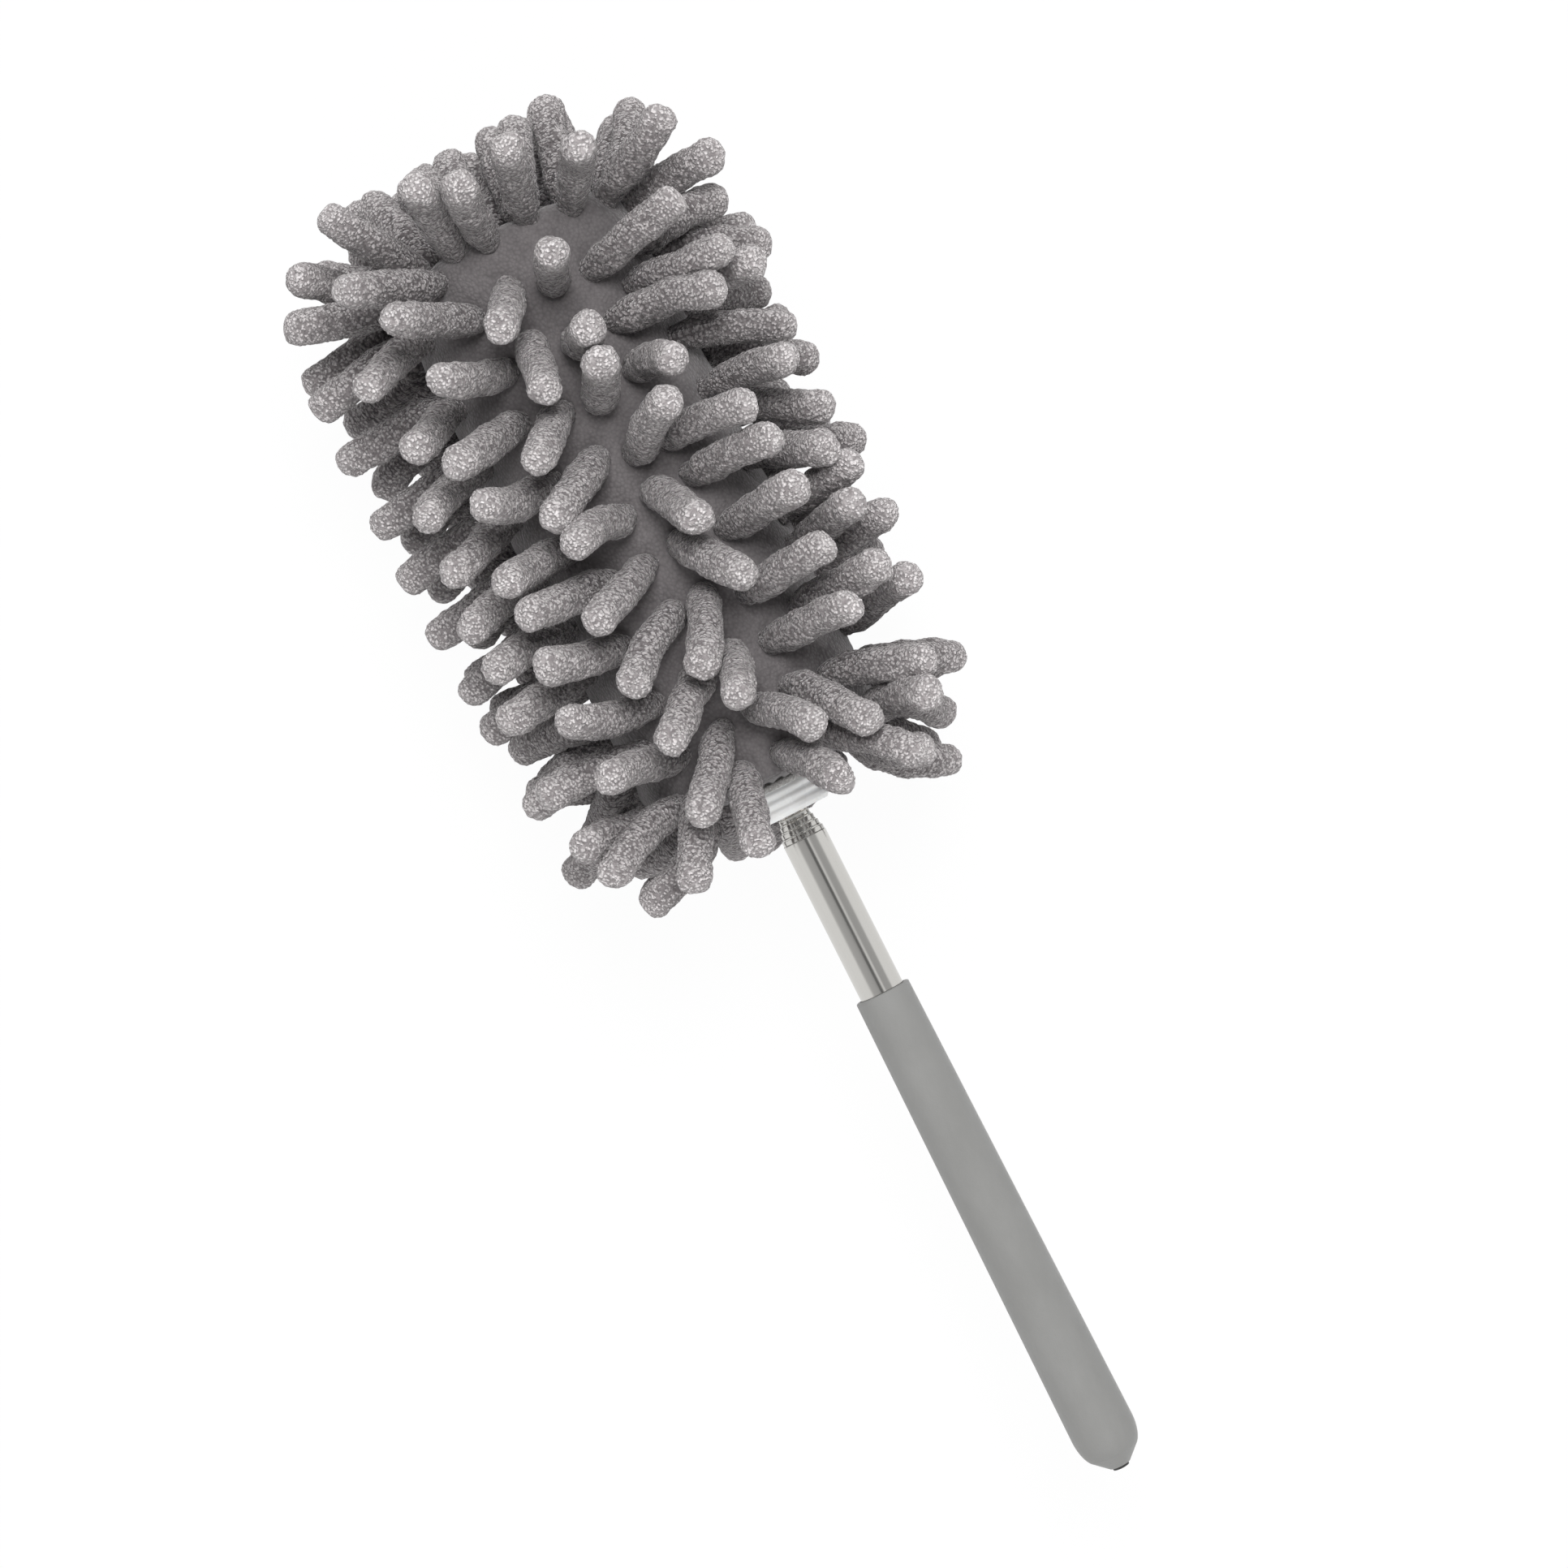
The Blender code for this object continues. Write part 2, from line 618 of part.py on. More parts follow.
class Finger:
    """A chenille finger: its slice of the cover, its root, the cloth's normal there and its direction."""

    def __init__(self, piece, radius, along, angle, normal_lean, lean, swing):
        angle, normal_lean = math.radians(angle), math.radians(normal_lean)
        self.piece = piece
        self.root = outward(angle) * radius + Vector((0, 0, along))
        self.normal = pointing(angle, normal_lean)
        self.direction = pointing(angle + math.radians(swing), math.radians(lean))
        self.knee = self.root + self.normal * FINGER_KNEE
        self.reach = FINGER_LENGTH - FINGER_KNEE


def row_fingers(row):
    """The angle, share, lean and swing of each finger of a row."""
    on_floor = [(side * FLOOR_COLUMN, 0, 0, side * FLOOR_SWING) for side in (1, -1)]
    return list(FINGER_ROW_SHARES[row]) + on_floor


fingers = []
for row in range(ROW_COUNT):
    middle = rows_end - (row + 0.5) * ROW_PITCH
    for angle, share, lean, swing in row_fingers(row):
        along = middle + share * ROW_PITCH
        fingers.append(Finger(f"cover_row_{row + 1}", head_radius, along, angle, 0, lean, swing))
for angle, share, lean, swing in row_fingers(ROW_COUNT):
    fingers.append(Finger("cover_hem", head_radius, rows_start - HEM_ROW_DROP, angle, 0, lean, swing))
flat_radius = head_radius - EDGE_ROUNDING
for angle, lean, swing in HEM_FINGERS:
    fingers.append(Finger("cover_hem", flat_radius * HEM_RING_SHARE, cover_start, angle, 90, lean, swing))
for angle, tilt, lean, swing in SHOULDER_FINGERS:
    radius = flat_radius + EDGE_ROUNDING * math.cos(math.radians(tilt))
    along = cover_end - EDGE_ROUNDING * (1 - math.sin(math.radians(tilt)))
    fingers.append(Finger("cover_crown", radius, along, angle, -tilt, lean, swing))
for share, angle, lean, swing in CROWN_FINGER_SHARES:
    fingers.append(Finger("cover_crown", flat_radius * share, cover_end, angle, -90, lean, swing))


def settle(fingers):
    """Turns fingers that come too close a little away from each other, until none cross."""
    knees = np.array([finger.knee for finger in fingers])
    aims = np.array([finger.direction for finger in fingers])
    reaches = np.array([[finger.reach - FINGER_DIAMETER / 2] for finger in fingers])
    owners = np.repeat(np.arange(len(fingers)), len(BEAD_SHARES))
    others = owners[:, None] != owners[None, :]
    levers = np.tile(BEAD_SHARES, len(fingers))[:, None]
    for _ in range(SETTLE_ROUNDS):
        beads = (knees[:, None] + (aims * reaches)[:, None] * BEAD_SHARES[:, None]).reshape(-1, 3)
        apart = beads[:, None] - beads[None, :]
        distance = np.linalg.norm(apart, axis=2) + MERGE_DISTANCE
        lack = np.clip(FINGER_DIAMETER + FINGER_GAP - distance, 0, None) * others
        push = (apart / distance[:, :, None] * lack[:, :, None]).sum(axis=1) * levers
        turn = np.zeros_like(aims)
        np.add.at(turn, owners, push)
        aims = aims + turn / (2 * reaches)
        aims /= np.linalg.norm(aims, axis=1, keepdims=True)
    for finger, aim in zip(fingers, aims):
        finger.direction = Vector(aim)
    closest = 1000 * distance[others].min()
    print(f"{len(fingers)} fingers, the closest two {closest:.2f} mm apart on their axes")


settle(fingers)

finger_section = bpy.data.curves.new("finger_section", "CURVE")
finger_section.dimensions = "2D"
outline = finger_section.splines.new("POLY")
outline.use_cyclic_u = True
outline.points.add(FINGER_SIDES - 1)
for i, point in enumerate(outline.points):
    around = 2 * math.pi * i / FINGER_SIDES
    point.co = (FINGER_DIAMETER / 2 * math.cos(around), FINGER_DIAMETER / 2 * math.sin(around), 0, 1)
section_object = helper("finger_section", finger_section)


def finger_shapes(piece_name):
    """All the fingers of one slice of the cover, as one mesh of closed tubes."""
    curve = bpy.data.curves.new(f"{piece_name}_fingers", "CURVE")
    curve.dimensions = "3D"
    curve.bevel_mode = "OBJECT"
    curve.bevel_object = section_object
    curve.use_fill_caps = True
    for finger in (f for f in fingers if f.piece == piece_name):
        tip = finger.knee + finger.direction * finger.reach
        path = [
            (finger.root - finger.normal * CLOTH_THICKNESS * ROOT_DEPTH_SHARE, ROOT_RADIUS_SHARE),
            (finger.knee, 1),
            (tip - finger.direction * FINGER_TIP_ROUNDING, 1),
            (tip, TIP_RADIUS_SHARE),
        ]
        if math.degrees(finger.normal.angle(finger.direction)) < KNEE_BEND:
            path.pop(1)
        spline = curve.splines.new("POLY")
        spline.points.add(len(path) - 1)
        for point, (place_on_path, share) in zip(spline.points, path):
            point.co = (*place_on_path, 1)
            point.radius = share
    drawn = helper(f"{piece_name}_fingers_drawn", curve)
    bpy.context.view_layer.update()
    graph = bpy.context.evaluated_depsgraph_get()
    data = bpy.data.meshes.new_from_object(drawn.evaluated_get(graph))
    bpy.data.objects.remove(drawn)
    shape = bmesh.new()
    shape.from_mesh(data)
    bmesh.ops.remove_doubles(shape, verts=shape.verts, dist=MERGE_DISTANCE)
    bmesh.ops.recalc_face_normals(shape, faces=shape.faces)
    shape.to_mesh(data)
    shape.free()
    data.shade_smooth()
    return helper(f"{piece_name}_fingers", data)


# The cover's slices, each with its fingers fused to the cloth

reach = head_radius + FINGER_LENGTH + CUT_OVERRUN
floor_cutter = helper_box(
    "floor_cutter", (axis_height, -reach, 0), (reach, reach, total_length + CUT_OVERRUN)
)


def cover_slice(name, profile, closed=True):
    """A slice of the cover: its ring of cloth, joined with its fingers, flat where it lies on the floor."""
    cloth = turned(name, profile, CLOTH_SIDES, 0, "chenille", closed)
    combine(cloth, finger_shapes(name), "UNION")
    combine(cloth, floor_cutter, "DIFFERENCE")


half_gap = SEAT_GAP / 2
for row in range(ROW_COUNT):
    high = rows_end - row * ROW_PITCH - half_gap
    low = rows_end - (row + 1) * ROW_PITCH + half_gap
    cover_slice(
        f"cover_row_{row + 1}",
        [(head_radius, high), (head_radius, low), (cloth_inside, low), (cloth_inside, high)],
    )

hem_hole = neck_radius + SEAT_GAP
hem_top = rows_start - half_gap
hem_edge = cover_start + EDGE_ROUNDING
cover_slice(
    "cover_hem",
    [(head_radius, hem_top)]
    + rounded((flat_radius, hem_edge), EDGE_ROUNDING, 0, -90, EDGE_STEPS)
    + [(hem_hole, cover_start), (hem_hole, cover_start + CLOTH_THICKNESS)]
    + rounded((flat_radius, hem_edge), inside_rounding, -90, 0, EDGE_STEPS)
    + [(cloth_inside, hem_top)],
)

crown_bottom = rows_end + half_gap
crown_edge = cover_end - EDGE_ROUNDING
cover_slice(
    "cover_crown",
    [(0, cover_end)]
    + rounded((flat_radius, crown_edge), EDGE_ROUNDING, 90, 0, EDGE_STEPS)
    + [(head_radius, crown_bottom), (cloth_inside, crown_bottom)]
    + rounded((flat_radius, crown_edge), inside_rounding, 0, 90, EDGE_STEPS)
    + [(0, cover_end - CLOTH_THICKNESS)],
    closed=False,
)


# Elastic round the neck, under the hem

elastic_radius = ELASTIC_DIAMETER / 2
turned(
    "hem_elastic",
    rounded((hem_hole + elastic_radius, 0), elastic_radius, 90, -210, ELASTIC_STEPS),
    ELASTIC_SIDES,
    cover_start - SEAT_GAP - elastic_radius,
    "elastic",
)
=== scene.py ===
"""A duster with a chenille head and a telescopic steel pole, folded, on a pale floor and seen from above."""
import math
from itertools import product

import bmesh
import bpy
import numpy as np
from mathutils import Matrix, Vector


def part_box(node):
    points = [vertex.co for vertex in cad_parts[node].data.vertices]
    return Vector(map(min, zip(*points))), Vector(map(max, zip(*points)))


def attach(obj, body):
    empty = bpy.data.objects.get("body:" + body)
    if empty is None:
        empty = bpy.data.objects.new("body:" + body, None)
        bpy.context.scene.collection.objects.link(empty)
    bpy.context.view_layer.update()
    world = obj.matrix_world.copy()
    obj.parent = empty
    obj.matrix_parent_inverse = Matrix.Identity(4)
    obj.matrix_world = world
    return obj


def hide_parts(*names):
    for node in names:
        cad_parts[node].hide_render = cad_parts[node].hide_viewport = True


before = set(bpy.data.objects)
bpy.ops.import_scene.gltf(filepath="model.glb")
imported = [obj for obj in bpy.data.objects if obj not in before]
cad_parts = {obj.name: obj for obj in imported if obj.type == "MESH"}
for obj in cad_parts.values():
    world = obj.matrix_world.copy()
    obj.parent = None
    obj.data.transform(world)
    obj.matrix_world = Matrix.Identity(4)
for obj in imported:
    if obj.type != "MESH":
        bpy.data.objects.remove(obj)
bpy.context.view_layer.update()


# Foot plug
# A black moulded plug, pressed into the foot of the outer tube. Its flange stops the tube, and its blunt nose
# comes out through the closed end of the grip, where it is all of the plug that shows.

plug_foot, plug_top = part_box("foot_plug")
pole_height = (plug_foot.z + plug_top.z) / 2
plug_flange_radius = (plug_top.z - plug_foot.z) / 2
plug_nose_radius = 0.0018
plug_nose_length = 0.0053
plug_flange_thickness = 0.0012
plug_body_radius = 0.00445
plug_edge = 0.0004
sharp_enough = math.radians(28)


def skin_of(name, tubes, caps=(0, -1)):
    """A mesh over tubes of points, shaped (tubes, rings, points in a ring, 3), with these rings capped."""
    tubes = tubes if tubes.ndim == 4 else tubes[None]
    index = np.arange(tubes[..., 0].size).reshape(tubes.shape[:3])
    low, high = index[:, :-1], index[:, 1:]
    faces = np.stack([low, np.roll(low, -1, 2), np.roll(high, -1, 2), high], axis=3).reshape(-1, 4).tolist()
    for cap in caps:
        faces += index[:, cap, :: -1 if cap == 0 else 1].tolist()
    mesh = bpy.data.meshes.new(name)
    mesh.from_pydata(tubes.reshape(-1, 3).tolist(), [], faces)
    mesh.shade_smooth()
    piece = bpy.data.objects.new(name, mesh)
    bpy.context.collection.objects.link(piece)
    return piece


def round_the_pole(along, radius, angle, height=pole_height):
    """Points at these places along the pole, these distances from its axis and these angles from the top."""
    along, radius, angle = np.broadcast_arrays(along, radius, angle)
    return np.stack([along, -radius * np.sin(angle), height + radius * np.cos(angle)], axis=-1)


def join_up(piece):
    """Joins the points of a piece that lie on each other, and turns its faces outwards."""
    shape = bmesh.new()
    shape.from_mesh(piece.data)
    bmesh.ops.remove_doubles(shape, verts=shape.verts, dist=1e-7)
    bmesh.ops.recalc_face_normals(shape, faces=shape.faces)
    shape.to_mesh(piece.data)
    shape.free()


def turned(name, outline, edge_rounding, sides=96):
    """A piece turned about the pole's axis. Its outline is a list of (place along the pole, radius)."""
    along, radius = np.array(outline).T[:, :, None]
    turns = np.linspace(0, math.tau, sides, endpoint=False)
    piece = skin_of(name, round_the_pole(along, radius, turns, height=0), caps=())
    join_up(piece)
    piece.location.z = pole_height
    bevel = piece.modifiers.new("rounded edges", "BEVEL")
    bevel.width = edge_rounding
    bevel.segments = 3
    bevel.angle_limit = sharp_enough
    flats = piece.modifiers.new("even flats", "WEIGHTED_NORMAL")
    flats.keep_sharp = True
    return piece


class Finish:
    """A material in the making: its shader, and short ways to add nodes and to join them."""

    def __init__(self, name, colour, roughness, metallic=0.0):
        self.material = bpy.data.materials.new(name)
        self.material.use_nodes = True
        self.tree = self.material.node_tree
        self.shader = self.tree.nodes["Principled BSDF"]
        self.shader.inputs["Base Color"].default_value = (*colour, 1)
        self.shader.inputs["Roughness"].default_value = roughness
        self.shader.inputs["Metallic"].default_value = metallic
        self.places = self.tree.nodes.new("ShaderNodeTexCoord").outputs["Object"]

    def add(self, kind, **inputs):
        """A node of this kind. Its inputs are set to numbers or joined to other nodes' outputs."""
        node = self.tree.nodes.new("ShaderNode" + kind)
        for name, value in inputs.items():
            socket = node.inputs[name.replace("_", " ")]
            if isinstance(value, bpy.types.NodeSocket):
                self.tree.links.new(value, socket)
            else:
                socket.default_value = value
        return node

    def stretched(self, along, across):
        """Places on the piece for a pattern with so many features to a metre along the pole and across it."""
        return self.add("Mapping", Vector=self.places, Scale=(along, across, across)).outputs["Vector"]

    def cloudy(self, along, across, **inputs):
        """Smooth random values with so many features to a metre along the pole and across it."""
        return self.add("TexNoise", Vector=self.stretched(along, across), Scale=1, **inputs).outputs["Fac"]

    def beaded(self, per_metre):
        """Distances from the middles of beads, so many to a metre."""
        beads = self.add("TexVoronoi", Vector=self.stretched(per_metre, per_metre), Scale=1)
        return beads.outputs["Distance"]

    def ramp(self, value, *stops):
        """Turns a value into a colour or a grey, by stops of (value, colour)."""
        node = self.add("ValToRGB", Fac=value)
        elements = node.color_ramp.elements
        while len(elements) < len(stops):
            elements.new(1)
        for element, (place, colour) in zip(elements, stops):
            element.position = place
            element.color = (*colour, 1) if isinstance(colour, tuple) else (colour, colour, colour, 1)
        return node.outputs["Color"]

    def wear(self, value, *stops):
        """Lets the roughness follow a value."""
        self.tree.links.new(self.ramp(value, *stops), self.shader.inputs["Roughness"])

    def tint(self, value, *stops):
        """Lets the colour follow a value."""
        self.tree.links.new(self.ramp(value, *stops), self.shader.inputs["Base Color"])

    def relief(self, height, depth):
        """Raises the surface where a value is high, by up to this depth."""
        bump = self.add("Bump", Height=height, Distance=depth)
        self.tree.links.new(bump.outputs["Normal"], self.shader.inputs["Normal"])

    def put_on(self, piece):
        """Gives the whole piece this material."""
        if not piece.data.materials:
            piece.data.materials.append(self.material)
        for slot in piece.material_slots:
            slot.material = self.material


flange_end = plug_foot.x + plug_nose_length
tube_seat = flange_end + plug_flange_thickness
foot_plug = turned(
    "plug_of_grip_end",
    [
        (plug_foot.x, 0),
        (plug_foot.x, plug_nose_radius),
        (flange_end, plug_nose_radius),
        (flange_end, plug_flange_radius),
        (tube_seat, plug_flange_radius),
        (tube_seat, plug_body_radius),
        (plug_top.x, plug_body_radius),
        (plug_top.x, 0),
    ],
    plug_edge,
)
moulded_black = Finish("moulded_black", (0.035, 0.035, 0.034), 0.45)
spark_grain = moulded_black.cloudy(9000, 9000, Detail=3)
moulded_black.wear(spark_grain, (0.3, 0.38), (0.7, 0.55))
moulded_black.relief(spark_grain, 0.00004)
moulded_black.put_on(foot_plug)
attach(foot_plug, "handle")
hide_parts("foot_plug")


# Telescopic tubes
# Five thin stainless tubes, drawn and polished lengthwise, each sliding in the next. The mouth of each outer
# one is rolled in to stop the tube inside it, and each inner one has a groove round its foot for its bushes.

tube_wall = 0.0002
lip_length = 0.0010
lip_depth = 0.00012
tube_edge = 0.00008
groove_start = 0.0010
groove_length = 0.0052
groove_depth = 0.0002
groove_slope = 0.0002
tube_bodies = {1: "handle", 2: "tube_2", 3: "tube_3", 4: "tube_4", 5: "tube_5"}


def reckoned(tree, operation, *values):
    """The result of this operation on values that are numbers or other nodes' outputs."""
    node = tree.nodes.new("ShaderNodeMath")
    node.operation = operation
    for socket, value in zip(node.inputs, values):
        if isinstance(value, bpy.types.NodeSocket):
            tree.links.new(value, socket)
        else:
            socket.default_value = value
    return node.outputs["Value"]


drawn_steel = Finish("drawn_stainless", (0.60, 0.59, 0.565), 0.16, metallic=1.0)
drawing_lines = drawn_steel.cloudy(25, 4200, Detail=4, Roughness=0.6)
smears = drawn_steel.cloudy(90, 180, Detail=3)
smeared_lines = reckoned(drawn_steel.tree, "MULTIPLY_ADD", smears, 0.5, drawing_lines)
drawn_steel.wear(smeared_lines, (0.5, 0.10), (1.0, 0.24))
drawn_steel.relief(drawing_lines, 0.0000035)

for number, body in tube_bodies.items():
    foot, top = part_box(f"tube_{number}")
    radius = (top.z - foot.z) / 2
    outside = [(top.x, radius)]
    if number < 5:
        outside = [
            (top.x, radius - lip_depth),
            (top.x - lip_length, radius - lip_depth),
            (top.x - lip_length - lip_depth, radius),
        ]
    if number > 1:
        groove_end = foot.x + groove_start + groove_length
        outside += [
            (groove_end + groove_slope, radius),
            (groove_end, radius - groove_depth),
            (foot.x + groove_start, radius - groove_depth),
            (foot.x + groove_start - groove_slope, radius),
        ]
    outside.append((foot.x, radius))
    inside = [(along, radius - tube_wall) for along, radius in reversed(outside)]
    tube = turned(f"steel_tube_{number}", outside + inside + outside[:1], tube_edge, sides=128)
    drawn_steel.put_on(tube)
    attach(tube, body)
    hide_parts(f"tube_{number}")


# Friction bushes
# Thin half shells of spring bronze in the groove round each inner tube's foot. They rub on the tube outside
# them and so hold the pole at any length. They never leave the pole, so the frame's solids stand for them.

rolled_bronze = Finish("rolled_bronze", (0.56, 0.33, 0.16), 0.35, metallic=1.0)
rubbed = rolled_bronze.cloudy(150, 2500, Detail=3)
rolled_bronze.tint(rubbed, (0.35, (0.50, 0.28, 0.13)), (0.65, (0.66, 0.42, 0.22)))
rolled_bronze.wear(rubbed, (0.3, 0.45), (0.7, 0.25))
for number in (2, 3, 4, 5):
    for side in ("near", "far"):
        rolled_bronze.put_on(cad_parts[f"bush_{number}_{side}"])


# Grip
# A soft grey sleeve, dipped in one piece with a closed and rounded end. It is pushed over the outer tube,
# which stretches it a little, and gets thinner towards its open mouth.

grip_foot, grip_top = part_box("grip_sleeve")
grip_foot_radius = (grip_top.z - grip_foot.z) / 2
grip_top_radius = 0.00595
grip_bore = 0.00505
grip_hole_radius = 0.0021
grip_end_wall = 0.0046
grip_cone_height = 0.0031
grip_cone_radius = 0.0054
grip_shoulder_height = 0.0055
grip_shoulder_arc = math.radians(60)
grip_shoulder_steps = 14
grip_edge = 0.00035

grip_outline = [(grip_foot.x, grip_hole_radius)]
for step in range(grip_shoulder_steps + 1):
    turn = grip_shoulder_arc * (1 - step / grip_shoulder_steps)
    up = 1 - math.sin(turn) / math.sin(grip_shoulder_arc)
    out = (math.cos(turn) - math.cos(grip_shoulder_arc)) / (1 - math.cos(grip_shoulder_arc))
    grip_outline.append((
        grip_foot.x + grip_cone_height + grip_shoulder_height * up,
        grip_cone_radius + (grip_foot_radius - grip_cone_radius) * out,
    ))
grip_outline += [
    (grip_top.x, grip_top_radius),
    (grip_top.x, grip_bore),
    (grip_foot.x + grip_end_wall, grip_bore),
    (grip_foot.x + grip_end_wall, grip_hole_radius),
    (grip_foot.x, grip_hole_radius),
]
grip = turned("soft_grip", grip_outline, grip_edge, sides=128)
dipped_rubber = Finish("dipped_soft_rubber", (0.218, 0.218, 0.212), 0.5)
dipped_rubber.shader.inputs["Sheen Weight"].default_value = 0.15
clouding = dipped_rubber.cloudy(60, 120, Detail=4, Roughness=0.6)
dipped_rubber.tint(clouding, (0.3, (0.206, 0.206, 0.2)), (0.7, (0.231, 0.231, 0.225)))
skin_grain = dipped_rubber.cloudy(3200, 3200, Detail=3)
dipped_rubber.wear(skin_grain, (0.3, 0.46), (0.7, 0.60))
dipped_rubber.relief(skin_grain, 0.00004)
dipped_rubber.put_on(grip)
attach(grip, "handle")
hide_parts("grip_sleeve")


# Threaded tip
# Turned from brass: a shank pressed into the innermost tube, a collar on its mouth and a stud with a coarse
# thread, onto which the head screws. It shows when the head is taken off.

tip_foot, tip_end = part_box("threaded_tip")
collar_radius = (tip_end.z - tip_foot.z) / 2
collar_gap = 0.0003
collar_length = 0.0016
collar_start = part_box("tube_5")[1].x + collar_gap
collar_end = collar_start + collar_length
tip_edge = 0.0002
shank_radius = 0.00285
stud_radius = 0.0029
thread_depth = 0.00042
thread_pitch = 0.0015
thread_runout = 0.0012
thread_flank_slope = 1.25
thread_root_flat = 0.1
thread_sides = 72
thread_steps_per_turn = 24

tip_collar = turned(
    "brass_collar_and_shank",
    [
        (tip_foot.x, 0),
        (tip_foot.x, shank_radius),
        (collar_start, shank_radius),
        (collar_start, collar_radius),
        (collar_end, collar_radius),
        (collar_end, 0),
    ],
    tip_edge,
)

stud_length = tip_end.x - collar_end
stud_rings = int(stud_length / thread_pitch * thread_steps_per_turn)
around = np.linspace(0, math.tau, thread_sides, endpoint=False)
along = np.linspace(0, stud_length, stud_rings)
turn_share = (along[:, None] / thread_pitch + around[None, :] / math.tau) % 1
flank = np.abs(2 * turn_share - 1)
fade = np.clip(np.minimum(along, stud_length - along) / thread_runout, 0, 1)[:, None]
crest = np.clip(thread_flank_slope * flank - thread_root_flat, 0, 1)
radii = stud_radius - thread_depth * (1 - fade * crest)
stud = skin_of("brass_stud", round_the_pole(collar_end + along[:, None], radii, around))
stud.data.set_sharp_from_angle(angle=math.radians(50))

turned_brass = Finish("turned_brass", (0.62, 0.45, 0.19), 0.28, metallic=1.0)
tool_marks = turned_brass.cloudy(9000, 400, Detail=3)
turned_brass.wear(tool_marks, (0.3, 0.2), (0.7, 0.4))
turned_brass.relief(tool_marks, 0.00001)
for piece in (tip_collar, stud):
    turned_brass.put_on(piece)
    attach(piece, "tube_5")
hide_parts("threaded_tip")


# Neck and stem
# One white moulding. The ribbed neck is what the hand turns to screw the head on and off. Past the neck it
# goes on inside the head as a flange and a hollow stem, which carry the core.

neck_end, stem_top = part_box("neck_stem")
neck_length = 0.0079
neck_radius = 0.0087
neck_end_radius = 0.0082
neck_taper = 0.0008
neck_plain = 0.0024
rib_depth = 0.0005
rib_count = 3
rib_steps = 12
rib_fullness = 0.7
neck_edge = 0.0003
mouth_radius = 0.0051
mouth_depth = 0.0044
socket_radius = 0.0046
socket_depth = 0.0146
stem_bore = 0.0030
stem_radius = 0.0060
stem_flange_radius = (stem_top.z - neck_end.z) / 2
stem_flange_foot = 0.0102
stem_flange_top = 0.0118

rib_pitch = (neck_length - neck_plain) / rib_count
neck_outline = [
    (neck_end.x, mouth_radius),
    (neck_end.x, neck_end_radius),
    (neck_end.x + neck_taper, neck_radius),
]
for rib in np.linspace(-0.5, rib_count, 1 + round((rib_count + 0.5) * rib_steps)):
    wave = 0.5 - 0.5 * math.cos(math.tau * rib)
    neck_outline.append((
        neck_end.x + neck_plain + rib_pitch * float(rib),
        neck_radius - rib_depth + rib_depth * wave**rib_fullness,
    ))
neck_outline += [
    (neck_end.x + stem_flange_foot, neck_radius - rib_depth),
    (neck_end.x + stem_flange_foot, stem_flange_radius),
    (neck_end.x + stem_flange_top, stem_flange_radius),
    (neck_end.x + stem_flange_top, stem_radius),
    (stem_top.x, stem_radius),
    (stem_top.x, stem_bore),
    (neck_end.x + socket_depth, stem_bore),
    (neck_end.x + socket_depth, socket_radius),
    (neck_end.x + mouth_depth, socket_radius),
    (neck_end.x + mouth_depth, mouth_radius),
    (neck_end.x, mouth_radius),
]
neck = turned("ribbed_neck", neck_outline, neck_edge, sides=128)
milky_white = Finish("milky_white_plastic", (0.90, 0.905, 0.90), 0.25)
milky_white.shader.inputs["Subsurface Weight"].default_value = 0.3
milky_white.shader.inputs["Subsurface Radius"].default_value = (0.0016, 0.0015, 0.0014)
flow = milky_white.cloudy(140, 260, Detail=3)
milky_white.tint(flow, (0.3, (0.88, 0.885, 0.88)), (0.7, (0.92, 0.925, 0.92)))
milky_white.wear(flow, (0.3, 0.2), (0.7, 0.32))
milky_white.put_on(neck)
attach(neck, "head")
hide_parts("neck_stem")


# Brass insert
# A turned brass bush, moulded into the neck's mouth, with a plain bore in place of its thread. Its flange
# shows round the hole when the head is off.

insert_mouth, insert_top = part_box("thread_insert")
insert_flange_radius = (insert_top.z - insert_mouth.z) / 2
insert_radius = 0.0045
insert_flange = 0.0010
insert_edge = 0.00015
insert = turned(
    "brass_insert",
    [
        (insert_mouth.x, stem_bore),
        (insert_mouth.x, insert_flange_radius),
        (insert_mouth.x + insert_flange, insert_flange_radius),
        (insert_mouth.x + insert_flange, insert_radius),
        (insert_top.x, insert_radius),
        (insert_top.x, stem_bore),
        (insert_mouth.x, stem_bore),
    ],
    insert_edge,
)
turned_brass.put_on(insert)
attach(insert, "head")
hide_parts("thread_insert")


# Core
# Inside the cover a cylinder of light open foam sits on the stem, held by a moulded cap and a zinc-plated
# screw. All three stay hidden, so the frame's own solids stand for the cap and the screw.

foam = Finish("open_foam", (0.52, 0.52, 0.49), 0.95)
cells = foam.beaded(1500)
foam.tint(cells, (0.1, (0.40, 0.40, 0.37)), (0.6, (0.60, 0.60, 0.56)))
foam.relief(cells, 0.0004)
foam_foot, foam_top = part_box("foam_core")
foam_radius = (foam_top.z - foam_foot.z) / 2
cap_foot, cap_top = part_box("core_cap")
foam_gap = 0.0003
pocket_gap = 0.0007
foam_edge = 0.0022
foam_bore = stem_radius + foam_gap
foam_pocket = (cap_top.z - cap_foot.z) / 2 + pocket_gap
foam_core = turned(
    "foam_cylinder",
    [
        (foam_foot.x, foam_bore),
        (foam_foot.x, foam_radius),
        (foam_top.x, foam_radius),
        (foam_top.x, foam_pocket),
        (cap_foot.x - foam_gap, foam_pocket),
        (cap_foot.x - foam_gap, foam_bore),
        (foam_foot.x, foam_bore),
    ],
    foam_edge,
)
foam.put_on(foam_core)
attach(foam_core, "head")
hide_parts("foam_core")
milky_white.put_on(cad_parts["core_cap"])

